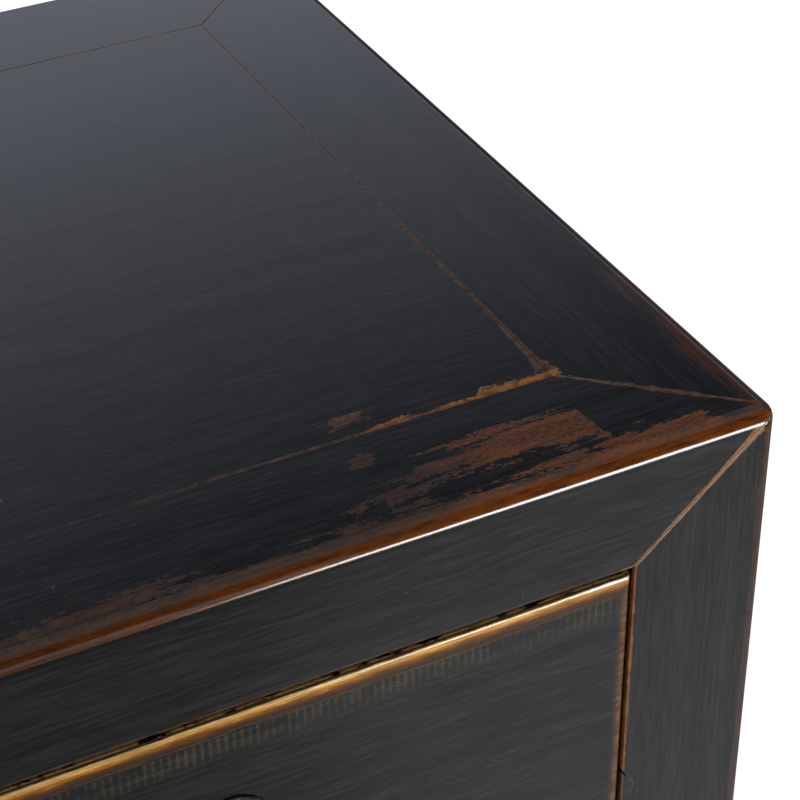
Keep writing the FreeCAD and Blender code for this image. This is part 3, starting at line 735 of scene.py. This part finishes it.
frame_lacquer = carcass_lacquer()
print("carcass lacquer:", len(frame_lacquer.node_tree.nodes), "nodes")

# %% [markdown]
# ### Lacquer of drawers and doors
#
# A drawer front is worn as a separate thing, along its own four edges: a bright gold band under the
# top edge, which sinks through amber and brown into the black over nine millimetres, and a thin brown
# one down each side. The first of the rounding keeps its black. Near the right end a pale patch on the
# gold is a painted highlight, for the light that the rounded top edge mirrors there, and flecks of bare
# wood shine on the upper edge. Below the gold the scraper has left a row of short upright ticks, evenly
# spaced but uneven in strength, which a sine along X gives.

# %% Worn black lacquer for drawer fronts and doors
TICK = 2.7 * MM
# The pale colour below is a painted highlight on the gold of the drawer's top edge.
PAINTED_HIGHLIGHT = (0.50, 0.46, 0.42, 1)
UPPER_BAND = [(0.0, (0.030, 0.016, 0.006), 1), (0.25, (0.008, 0.004, 0.002), 1),
              (0.50, (0.012, 0.006, 0.002), 1), (0.8, (0.320, 0.200, 0.072), 1),
              (2.0, (0.330, 0.185, 0.046), 1), (3.0, (0.205, 0.084, 0.010), 1),
              (3.8, (0.118, 0.041, 0.004), 1), (5.0, (0.040, 0.013, 0.001), 1),
              (6.0, (0.030, 0.012, 0.003), 0.9), (6.7, (0.018, 0.008, 0.003), 0.8),
              (7.3, (0.036, 0.024, 0.013), 0.9), (8.1, (0.010, 0.008, 0.005), 0.4),
              (9.0, (0.003, 0.003, 0.003), 0)]
FLANK_BAND = [(0.0, (0.010, 0.005, 0.002), 1), (0.5, (0.026, 0.011, 0.003), 1),
              (1.2, (0.062, 0.026, 0.007), 1), (2.1, (0.084, 0.034, 0.009), 1),
              (3.0, (0.046, 0.020, 0.006), 0.8), (4.0, (0.016, 0.010, 0.005), 0.5),
              (5.5, (0.003, 0.003, 0.003), 0)]


def front_lacquer(name, band_share, ticks):
    finish = Finish(name)
    point, grain = finish.place(), finish.grain()
    x, y, _ = point.split()
    below_top, above_foot, from_left, from_right = finish.layer("rim")
    gap = least(*finish.layer("seam"))
    behind = y - front
    colour, fine, broad = ground(grain)
    slow = point.noise(14, detail=2)
    grit = point.noise((110, 300, 600), detail=5, roughness=0.7)
    fleck = point.noise((900, 900, 900), detail=2, roughness=0.6)
    hatch = point.noise((60, 1, 1300), detail=4, roughness=0.7)

    # Bands along the four edges
    on_face = behind.step_mm(1.2, 0.6)
    wobble = (grit - 0.5) * below_top.step_mm(1, 4, 0.6 * MM, 4 * MM)
    spread = slow.step(0.3, 0.7, 0.9, 1.1)
    depth = (below_top + wobble) / (spread * band_share)
    band, cover = layers(depth, UPPER_BAND)
    band = hatch.step(0.60, 0.42, 0.0, 0.45).mix(band, BURNT)
    aside = least(from_left, from_right) + fleck.swing(1.4) + slow.swing(2.5)
    flank, flank_cover = layers(aside, FLANK_BAND)
    flank = grit.step(0.42, 0.60, 0.0, 0.75).mix(flank, BURNT)
    colour = (flank_cover * on_face).mix(colour, flank)
    colour = (cover * on_face).mix(colour, band)
    # Painted highlight: a pale patch on the gold near the right end stands for the light mirrored by the top
    # rounding.
    pale = (depth.step_mm(0.6, 0.9) * depth.step_mm(2.2, 1.4)
            * from_right.step_mm(26, 8) * grit.step(0.40, 0.52) * on_face)
    colour = (pale * 0.8).mix(colour, PAINTED_HIGHLIGHT)
    sole = (above_foot + wobble).step_mm(2.6, 1.4) * on_face
    colour = (sole * 0.6).mix(colour, hatch.mix(BURNT, UMBER))
    glimpse = grit.step(0.41, 0.50) * behind.step_mm(0.9, 1.3) * behind.step_mm(9, 3)
    colour = glimpse.mix(colour, GLIMPSE)
    line = gap.step_mm(0.45, 0.25)
    colour = (line * on_face * 0.30).mix(colour, OLIVE)
    if ticks:
        wave = ((x + slow * (3 * MM)) * (2 * math.pi / TICK)).sine()
        strength = point.noise((60, 1, 90), detail=3, roughness=0.7)
        rows = below_top.step_mm(7.0, 8.5) * below_top.step_mm(20, 11)
        mark = wave.step(0.0, 0.95) * strength.step(0.32, 0.66, 0.1, 1.0) * rows
        smudge = grit.step(0.38, 0.62) * strength.step(0.38, 0.62) * rows
        colour = (mark * 0.58 + smudge * 0.38).mix(colour, OLIVE)
    colour = dusted(point, colour)

    worn = most(depth.step_mm(7, 3), aside.step_mm(4, 2)) * on_face
    rough = ROUGHNESS + fine * BRUSH_ROUGHNESS + worn * 0.03
    height = fine * FINE_RELIEF + broad * BROAD_RELIEF + worn * -0.2
    return finish.surface(colour, rough, height, IOR=LACQUER_IOR)


drawer_lacquer = front_lacquer("worn_drawer_lacquer", 1.0, True)
door_lacquer = front_lacquer("worn_door_lacquer", 0.6, False)
print("drawer and door lacquer are ready")

# %% [markdown]
# ### Bare wood and grey metal
#
# Inside, the boards are stained but not lacquered. Their figure is a noise drawn out along the board,
# warped so that the lines wander as growth rings do. The pulls and hinges are a grey, tin-like white
# brass: dark in the hollows, brighter where fingers rub it, and dark along their edges, which is partly
# patina and partly painted shade, as where a plate's rim stands off the front.

# %% Bare wood
WOOD_LIGHT = (0.190, 0.105, 0.052, 1)
WOOD_DARK = (0.072, 0.036, 0.017, 1)
WOOD_PORE = (0.030, 0.016, 0.009, 1)


def wood():
    finish = Finish("stained_wood")
    grain = finish.grain()
    rings = grain.noise((1.6, 42, 1), detail=4, roughness=0.55, distortion=1.2)
    fibre = grain.noise((20, 1100, 1), detail=3, roughness=0.6)
    pores = grain.noise((60, 1500, 1), detail=1).step(0.66, 0.76)
    gap = least(*finish.layer("seam"))
    colour = rings.step(0.36, 0.66).mix(WOOD_DARK, WOOD_LIGHT)
    colour = (fibre.step(0.4, 0.7) * 0.35).mix(colour, WOOD_DARK)
    colour = (pores * 0.6).mix(colour, WOOD_PORE)
    colour = (gap.step_mm(1.2, 0.2) * 0.35).mix(colour, WOOD_PORE)
    rough = 0.52 + fibre * 0.2
    height = fibre * 0.5 + pores * -0.5 + rings * 0.2
    return finish.surface(colour, rough, height)


bare_wood = wood()
print("bare wood:", len(bare_wood.node_tree.nodes), "nodes")

# %% Grey metal
METAL = (0.200, 0.155, 0.130, 1)
# The dark metal colour below gives random dark tone, and along edges patina together with painted shade.
METAL_DARK_AND_SHADE = (0.012, 0.009, 0.007, 1)
METAL_BRIGHT = (0.300, 0.245, 0.210, 1)


def metal():
    finish = Finish("grey_metal_finish")
    point = finish.place()
    gap = least(*finish.layer("seam"))
    cloud = point.noise(160, detail=4, roughness=0.6)
    lines = point.noise((1800, 500, 120), detail=2)
    colour = cloud.step(0.35, 0.65).mix(METAL, METAL_BRIGHT)
    colour = (cloud.step(0.60, 0.42) * 0.35).mix(colour, METAL_DARK_AND_SHADE)
    # Darker along edges and seams: partly patina, partly painted shade, as round the rim of a pull plate.
    colour = (gap.step_mm(1.1, 0.1) * 0.85).mix(colour, METAL_DARK_AND_SHADE)
    rough = 0.30 + cloud * 0.22
    height = lines * 0.3 + cloud * 0.6
    return finish.surface(colour, rough, height, 0.04 * MM, Metallic=1.0)


grey_metal = metal()
print("grey metal:", len(grey_metal.node_tree.nodes), "nodes")

# %% [markdown]
# ## Top rails and posts
#
# Twelve members meet four times three at the corners of the top. All of them are sawn from one block
# with rounded outer arrises, so the rounding runs through every joint without a step, as it does when
# a joiner planes the corner after gluing.

# %% The rounded outer block
OUTER_ROUND = 6.0 * MM


def outer_arris(edge):
    """Whether an edge of the carcass block bounds its top or stands upright."""
    ends = [vertex.co for vertex in edge.verts]
    on_top = all(abs(end.z - top) < SAME_PLACE for end in ends)
    return on_top or abs(ends[0].z - ends[1].z) > SAME_PLACE


def carcass_block():
    return round_edges(block(*CARCASS), outer_arris, OUTER_ROUND)


def slab(shape, axis, low, high):
    """Keeps what lies between two places along an axis."""
    direction = (ALONG, INTO, UP)[axis]
    spare = (UP, ALONG, INTO)[axis]
    for place, side in ((low, 1), (high, -1)):
        if place is not None:
            start = direction * place
            saw(shape, start, start + spare, direction.cross(spare), start + direction * side)
    return shape


print("the carcass block has", len(carcass_block().faces), "faces")

# %% Top rails, mitred in plan and on their faces
SIGN = {"left": -1, "right": 1}
OUTER_X = {"left": left, "right": right}
END_Y = {"front": front, "back": back}
JOINT_Y = {"front": front_joint, "back": back_joint}
POST_Y = {"front": post_back, "back": back_post_front}


def plan_mitre(shape, side, end, keep):
    """Saws along the line from an outer corner of the top to the panel's corner."""
    sign = SIGN[side]
    corner = (OUTER_X[side], END_Y[end], top)
    inner = (sign * side_joint, JOINT_Y[end], top)
    return saw(shape, corner, inner, UP, keep)


def face_mitre(shape, side, keep):
    """Saws the long faces from an outer corner of the top to the post's inner edge."""
    sign = SIGN[side]
    return saw(shape, (OUTER_X[side], front, top), (sign * post_inner, front, rail_under), INTO, keep)


def flank_mitre(shape, end, keep):
    """Saws the short faces from an outer corner of the top to the post's inner edge."""
    return saw(shape, (right, END_Y[end], top), (right, POST_Y[end], rail_under), ALONG, keep)


for end in ("front", "back"):
    shape = slab(carcass_block(), 2, rail_under, None)
    slab(shape, 1, *((None, front_joint) if end == "front" else (back_joint, None)))
    for side in ("left", "right"):
        plan_mitre(shape, side, end, (0, END_Y[end], top))
        face_mitre(shape, side, (0, front, top))
    add_piece(f"top_{end}_rail", shape, 0, frame_lacquer)
for side in ("left", "right"):
    shape = slab(carcass_block(), 2, rail_under, None)
    slab(shape, 0, *((None, -side_joint) if side == "left" else (side_joint, None)))
    for end in ("front", "back"):
        plan_mitre(shape, side, end, (OUTER_X[side], 0, top))
        flank_mitre(shape, end, (OUTER_X[side], 0, top))
    add_piece(f"top_{side}_rail", shape, 1, frame_lacquer)
print("top rails:", [len(made[f"top_{word}_rail"].data.polygons) for word in ("front", "right")], "faces")

# %% [markdown]
# ## Pointed shoulders
#
# The rails between the front posts end in flat points that are let flush into the posts' faces. The
# outline of such a point is a triangle, so the tool that cuts the post is a three-sided prism, and the
# same prism belongs to the rail.

# %% Prisms for the points
POINT_RATIO = 0.31
SPARE = 2 * MM


def point_prism(side, low, high, depth_low, depth_high, overlap=0.0):
    """A triangular prism that points outwards from a post's inner edge."""
    sign = SIGN[side]
    base = sign * (post_inner - overlap)
    tip = sign * (post_inner + POINT_RATIO * (high - low))
    outline = [(base, low), (base, high), (tip, (low + high) / 2)]
    shape = bmesh.new()
    rings = [[shape.verts.new((x, depth, z)) for x, z in outline] for depth in (depth_low, depth_high)]
    shape.faces.new(rings[0])
    shape.faces.new(rings[1])
    for index in range(len(outline)):
        after = (index + 1) % len(outline)
        shape.faces.new((rings[0][index], rings[0][after], rings[1][after], rings[1][index]))
    bmesh.ops.recalc_face_normals(shape, faces=shape.faces)
    return shape


rail_spans = {node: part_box(node) for node in ("front_drawer_rail", "front_bottom_rail")}
print("rails with points:", list(rail_spans))

# %% Posts, rising to a point between the mitres
for end in ("front", "back"):
    for side in ("left", "right"):
        outer = Vector((OUTER_X[side], END_Y[end], 0))
        shape = carcass_block()
        slab(shape, 0, *((None, -post_inner) if side == "left" else (post_inner, None)))
        slab(shape, 1, *((None, post_back) if end == "front" else (back_post_front, None)))
        face_mitre(shape, side, outer)
        flank_mitre(shape, end, outer)
        if end == "front":
            ends = {"front_drawer_rail": post_back + SPARE,
                    "front_bottom_rail": rail_spans["front_bottom_rail"][1].y}
            tools = [point_prism(side, low.z, high.z, front - SPARE, ends[node], SPARE)
                     for node, (low, high) in rail_spans.items()]
            shape = combine(shape, tools)
            for low, high in rail_spans.values():
                for height in (low.z, (low.z + high.z) / 2, high.z):
                    cut(shape, UP * height, UP)
        add_piece(f"{end}_{side}_post", shape, 2, frame_lacquer)
print("posts:", len(made["front_right_post"].data.polygons), "faces each in front")

# %% Rails between the posts
rail_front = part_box("bottom_board")[0].y
for node, (low, high) in rail_spans.items():
    bar_front = rail_front if node == "front_drawer_rail" else front
    bar = block((-post_inner, bar_front, low.z), (post_inner, high.y, high.z))
    points = [point_prism(side, low.z, high.z, front, high.y) for side in ("left", "right")]
    add_piece(node, combine(bar, points, "UNION"), 0, frame_lacquer)
low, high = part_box("back_bottom_rail")
add_piece("back_bottom_rail", block((-post_inner, low.y, low.z), (post_inner, high.y, high.z)), 0,
          frame_lacquer)
for side in ("left", "right"):
    node = f"{side}_bottom_rail"
    low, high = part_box(node)
    add_piece(node, block((low.x, post_back, low.z), (high.x, back_post_front, high.z)), 1, frame_lacquer)
print("rails between the posts are in")

# %% [markdown]
# ## Panels
#
# The panels lie flush in the frame and move in its grooves with the seasons, so a fine joint runs all
# round them. Only the field shows: each is a board with eased edges between the inner edges of rails
# and posts.

# %% Top, side and back panels
low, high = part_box("top_panel")
add_piece("top_panel", block((-side_joint, front_joint, low.z), (side_joint, back_joint, high.z)),
          0, frame_lacquer)
rail_top = rail_spans["front_bottom_rail"][1].z
for side in ("left", "right"):
    low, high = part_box(f"{side}_side_panel")
    field = block((low.x, post_back, rail_top), (high.x, back_post_front, rail_under))
    add_piece(f"{side}_side_panel", field, 2, frame_lacquer)
low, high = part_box("back_panel")
add_piece("back_panel", block((-post_inner, low.y, rail_top), (post_inner, high.y, rail_under)),
          0, frame_lacquer)
print("panels are in")

# %% [markdown]
# ## Drawer fronts and doors
#
# Each front is a board with its face rounded over all round. Housings for the drawer's sides and
# bottom are let into its back with the boards themselves, so they fit whatever the sizes are. A door
# is four mitred members round a flush panel.

# %% Drawer fronts
FRONT_ROUND = 1.5 * MM


def rounded_front(low, high):
    """A board with the edges of its front face rounded."""
    def on_face(edge):
        return all(abs(vertex.co.y - low.y) < SAME_PLACE for vertex in edge.verts)
    return round_edges(block(low, high), on_face, FRONT_ROUND, steps=6)


for word in ("left", "middle", "right"):
    name = f"{word}_drawer"
    low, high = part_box(f"{name}_front")
    housings = [block(*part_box(f"{name}_{part}")) for part in ("left_side", "right_side", "bottom")]
    add_piece(f"{name}_front", combine(rounded_front(low, high), housings), 0, drawer_lacquer,
              outline=(low, high))
print("drawer fronts:", len(made["right_drawer_front"].data.polygons), "faces each")

# %% Doors
DOOR_MEMBER = 55 * MM


for side in ("left", "right"):
    name = f"{side}_door"
    door = low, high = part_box(f"{name}_frame")
    field_low, field_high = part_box(f"{name}_panel")
    field = (Vector((low.x + DOOR_MEMBER, low.y, low.z + DOOR_MEMBER)),
             Vector((high.x - DOOR_MEMBER, high.y, high.z - DOOR_MEMBER)))
    centre = (low + high) / 2
    joined = bmesh.new()
    for along, sign in ((2, -1), (2, 1), (0, -1), (0, 1)):
        across = 2 - along
        limits = (None, field[0][across]) if sign < 0 else (field[1][across], None)
        member = slab(rounded_front(low, high), across, *limits)
        keep = Vector((centre.x, low.y, centre.z))
        keep[across] = door[sign > 0][across]
        for turn in (-1, 1):
            x, z = (sign > 0, turn > 0) if along == 2 else (turn > 0, sign > 0)
            outer, inner = ((box[x].x, low.y, box[z].z) for box in (door, field))
            saw(member, outer, inner, INTO, keep)
        part = finish_mesh("member", member, along, (low, high), EASE)
        joined.from_mesh(part.data)
        bpy.data.objects.remove(part)
    item = shape_object(f"{name}_frame_piece", joined)
    item.data.materials.append(door_lacquer)
    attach(item, name)
    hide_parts(f"{name}_frame")
    panel = block((field[0].x, field_low.y, field[0].z), (field[1].x, field_high.y, field[1].z))
    add_piece(f"{name}_panel", panel, 2, door_lacquer, outline=(low, high))
print("doors are in")

# %% [markdown]
# ## Ring pulls
#
# The five rings are one shape repeated, a wire bent round a circle. That is a rule, so a Geometry
# Nodes tree makes them: a circle as the path, a smaller circle as the wire. Its sizes are inputs, so
# the same tree serves any pull.

# %% A tree that bends a wire into a ring
PATH_STEPS = 72
WIRE_STEPS = 20


def ring_tree(material):
    tree = bpy.data.node_groups.new("bent_ring", "GeometryNodeTree")
    words = {word: tree.interface.new_socket(word, in_out="INPUT", socket_type=f"NodeSocket{kind}")
             for word, kind in (("Ring Radius", "Float"), ("Wire Radius", "Float"), ("Centre", "Vector"))}
    tree.interface.new_socket("Ring", in_out="OUTPUT", socket_type="NodeSocketGeometry")
    start = add_node(tree, "NodeGroupInput")
    end = add_node(tree, "NodeGroupOutput")
    path = add_node(tree, "GeometryNodeCurvePrimitiveCircle", {"Resolution": PATH_STEPS})
    wire = add_node(tree, "GeometryNodeCurvePrimitiveCircle", {"Resolution": WIRE_STEPS})
    sweep = add_node(tree, "GeometryNodeCurveToMesh")
    upright = add_node(tree, "GeometryNodeTransform", {"Rotation": (math.pi / 2, 0, 0)})
    smooth = add_node(tree, "GeometryNodeSetShadeSmooth")
    real = add_node(tree, "GeometryNodeRealizeInstances")
    paint = add_node(tree, "GeometryNodeSetMaterial", {"Material": material})
    links = [(start.outputs["Ring Radius"], path.inputs["Radius"]),
             (start.outputs["Wire Radius"], wire.inputs["Radius"]),
             (path.outputs["Curve"], sweep.inputs["Curve"]),
             (wire.outputs["Curve"], sweep.inputs["Profile Curve"]),
             (sweep.outputs[0], upright.inputs[0]),
             (start.outputs["Centre"], upright.inputs["Translation"]),
             (upright.outputs[0], smooth.inputs[0]),
             (smooth.outputs[0], real.inputs[0]),
             (real.outputs[0], paint.inputs[0]),
             (paint.outputs[0], end.inputs[0])]
    for source, target in links:
        tree.links.new(source, target)
    return tree, {word: socket.identifier for word, socket in words.items()}


bent_ring, ring_inputs = ring_tree(grey_metal)
print("ring tree inputs:", list(ring_inputs))

# %% Rings and plates of the five pulls
FLAT = math.radians(0.5)
PLATE_EASE = 0.2 * MM


def copy_of(node):
    """A node's mesh as one closed shape with whole flat faces."""
    shape = bmesh.new()
    shape.from_mesh(frame["nodes"][node].data)
    bmesh.ops.remove_doubles(shape, verts=shape.verts, dist=SAME_PLACE)
    bmesh.ops.dissolve_limit(shape, angle_limit=FLAT, verts=shape.verts, edges=shape.edges)
    for layer in list(shape.loops.layers.uv.values()):
        shape.loops.layers.uv.remove(layer)
    return shape


def run_tree(name, tree, values):
    """Runs a tree on an empty mesh and returns a plain object with the result."""
    item = new_object(name, bpy.data.meshes.new(name))
    modifier = item.modifiers.new("tree", "NODES")
    modifier.node_group = tree
    for identifier, value in values.items():
        modifier[identifier] = value
    return apply_modifiers(item)


for owner in ("left_drawer", "middle_drawer", "right_drawer", "left_door", "right_door"):
    node = f"{owner}_pull_ring"
    low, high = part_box(node)
    wire = (high.y - low.y) / 2
    values = {"Ring Radius": (high.x - low.x) / 2 - wire, "Wire Radius": wire,
              "Centre": [*((low + high) / 2)]}
    ring = run_tree(f"{node}_piece", bent_ring, {ring_inputs[word]: value for word, value in values.items()})
    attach(ring, body_of[node])
    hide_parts(node)
    plate = f"{owner}_pull_plate"
    add_piece(plate, copy_of(plate), 2, grey_metal, "grey_metal", outline=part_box(plate), ease=PLATE_EASE)
print("pulls: ring", len(ring.data.polygons), "faces, plate", len(made[plate].data.polygons), "faces")

# %% [markdown]
# ## Boards inside, and hinges
#
# These pieces already have their true form, with housings and tenons. A merged copy of each gets eased
# edges and the same layers, so that the wood's figure follows each board's length.

# %% Inner boards and hinge parts
BOARD_EASE = 0.5 * MM
HINGE_EASE = 0.15 * MM


def longest(node):
    """The axis along which a node is longest."""
    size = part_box(node)[1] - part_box(node)[0]
    return max(range(3), key=lambda axis: size[axis])


for node in sorted(set(frame["nodes"]) - set(made)):
    if node.endswith(("_pull_ring", "_door_frame")):
        continue
    hinge = "hinge" in node
    material, slot = (grey_metal, "grey_metal") if hinge else (bare_wood, "bare_wood")
    add_piece(node, copy_of(node), longest(node), material, slot, outline=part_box(node),
              ease=HINGE_EASE if hinge else BOARD_EASE)
print(len(made), "pieces made so far")

# %% [markdown]
# ## Floor, light and camera
#
# The photograph is a studio view against white. The camera sees floor and room as plain white. A satin
# black surface shows its surroundings instead, so the room that it mirrors has bands: brightest about
# half way up, deep above that, pale again overhead, and dark in front and low on the right. The floor
# carries the soft shadow of the piece. In mirrors it glows by itself, brightest in a pool ahead of the
# right-hand corner, which the front shows.
#
# Three lamps help. The one on the right stands low in front, and its narrow beam draws the highlight
# along the front arris. A weaker one to its left stands as high as the top, and a large one overhead
# lights the rest.

# %% Floor and room
ROOM_TILT = (0.36, 0, 1)
SKY_STOPS = [(0.00, (0.55, 0.58, 0.68, 1)), (0.40, (0.60, 0.63, 0.74, 1)), (0.52, (1.48, 1.56, 1.86, 1)),
             (0.60, (0.97, 1.04, 1.24, 1)), (0.68, (0.58, 0.61, 0.72, 1)), (0.70, (0.45, 0.47, 0.55, 1)),
             (0.72, (0.31, 0.33, 0.39, 1)), (0.76, (0.14, 0.15, 0.19, 1)), (0.84, (0.20, 0.21, 0.24, 1)),
             (0.93, (1.20, 1.20, 1.20, 1))]
DARK_ROOM = (0.10, 0.10, 0.10, 1)
FLOOR_HALF = 12.0
FLOOR_WHITE = 0.70
FLOOR_FADE = (0.7, 1.6)
POOL = (0.93, -0.84, 0)
POOL_REACH = (0.22, 0.42)
POOL_BRIGHT, POOL_DIM = 1.17, 0.55
NEAR_EDGE = (-0.88, -1.05, 1.0, 0.85)
AHEAD = (-0.05, -0.35)
BEHIND = (-0.35, -0.05)
PAST_RIGHT = (0.8, 1.1, 1.0, 0.25)
SEEN_GLOW = 1.15
FORWARD, LOW = (-0.25, -0.60), (0.80, 0.60)
RIGHTWARD, LEVEL = (0.35, 0.60), (0.37, 0.30)
WHITE = (1, 1, 1, 1)


def floor_material():
    finish = Finish("pale_floor")
    place = finish.place()
    rays = add_node(finish.tree, "ShaderNodeLightPath").outputs
    camera_ray, glossy_ray, clear_ray = (Value(rays[f"Is {word} Ray"])
                                         for word in ("Camera", "Glossy", "Transmission"))
    finish.surface(place.noise(3, detail=3).mix((0.93, 0.93, 0.93, 1), (0.95, 0.95, 0.95, 1)), 0.6)
    x, y, _ = place.split()
    pool = place.vector("DISTANCE", POOL).step(*POOL_REACH, POOL_BRIGHT, POOL_DIM)
    ahead = pool * y.step(*NEAR_EDGE) * y.step(*AHEAD)
    mirrored = ahead + x.step(*PAST_RIGHT) * y.step(*BEHIND)
    strength = most(mirrored, camera_ray * SEEN_GLOW)
    glow = add_node(finish.tree, "ShaderNodeEmission", {"Color": WHITE, "Strength": strength}).outputs[0]
    seen = most(camera_ray, most(glossy_ray, clear_ray))
    share = most(place.vector("LENGTH").step(*FLOOR_FADE, FLOOR_WHITE, 1.0), glossy_ray)
    shaders = {0: seen * share, 1: Value(finish.shader.outputs[0]), 2: Value(glow)}
    output = next(node for node in finish.tree.nodes if node.type == "OUTPUT_MATERIAL")
    feed(output.inputs[0], share.node("ShaderNodeMixShader", shaders))
    return finish.material


floor_shape = bmesh.new()
bmesh.ops.create_grid(floor_shape, x_segments=8, y_segments=8, size=FLOOR_HALF)
floor = shape_object("floor", floor_shape)
floor.data.materials.append(floor_material())
floor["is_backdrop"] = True

world = bpy.data.worlds.new("studio")
bpy.context.scene.world = world
world.use_nodes = True
tree = world.node_tree
camera_ray = Value(add_node(tree, "ShaderNodeLightPath").outputs["Is Camera Ray"])
direction = Value(add_node(tree, "ShaderNodeTexCoord").outputs["Generated"])
sky = direction.vector("DOT_PRODUCT", ROOM_TILT).ramp(SKY_STOPS)[0]
x, y, z = direction.split()
shade = most(y.step(*FORWARD) * z.step(*LOW), x.step(*RIGHTWARD) * z.step(*LEVEL))
feed(tree.nodes["Background"].inputs["Color"], camera_ray.mix(shade.mix(sky, DARK_ROOM), WHITE))
print("floor and room are ready")

# %% Lamps


def lamp(name, place, aim, size, power, spread=180):
    """A soft rectangular lamp that faces a point, with a beam as wide as its spread in degrees."""
    light = bpy.data.lights.new(name, "AREA")
    light.shape = "RECTANGLE"
    light.size, light.size_y = size
    light.energy = power
    light.spread = math.radians(spread)
    item = new_object(name, light)
    item.location = place
    item.rotation_euler = (Vector(aim) - Vector(place)).to_track_quat("-Z", "Y").to_euler()
    item.visible_camera = False


corner = Vector((right, front, top))
lamp("right_softbox", corner + Vector((0.60, -1.22, -0.55)), corner, (0.74, 0.50), 3.2, spread=36)
lamp("left_softbox", corner + Vector((0.10, -1.50, 0.05)), (0.2, front, top), (0.5, 0.5), 1.5)
lamp("overhead", (-0.9, -0.5, 2.7), (0, 0, 0.6), (1.5, 1.5), 34)
print("lamps are ready")

# %% Camera
FOCAL_PIXELS = 2295.5
IMAGE = 800
PLACE = (0.10942, -0.67694, 1.23266)
YAW, PITCH, ROLL = (math.radians(angle) for angle in (26.705, 35.452, -0.715))
camera_data = bpy.data.cameras.new("camera")
camera_data.sensor_width = 36
camera_data.lens = FOCAL_PIXELS * camera_data.sensor_width / IMAGE
camera_data.clip_start = 0.05
camera = new_object("camera", camera_data)
turned = (Matrix.Rotation(-YAW, 4, "Z") @ Matrix.Rotation(math.pi / 2 - PITCH, 4, "X")
          @ Matrix.Rotation(ROLL, 4, "Z"))
camera.matrix_world = Matrix.Translation(PLACE) @ turned
bpy.context.scene.camera = camera
bpy.context.scene.view_settings.view_transform = "Standard"
print(f"lens {camera_data.lens:.1f} mm")

# %% Bounds of the shown objects
low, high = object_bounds()
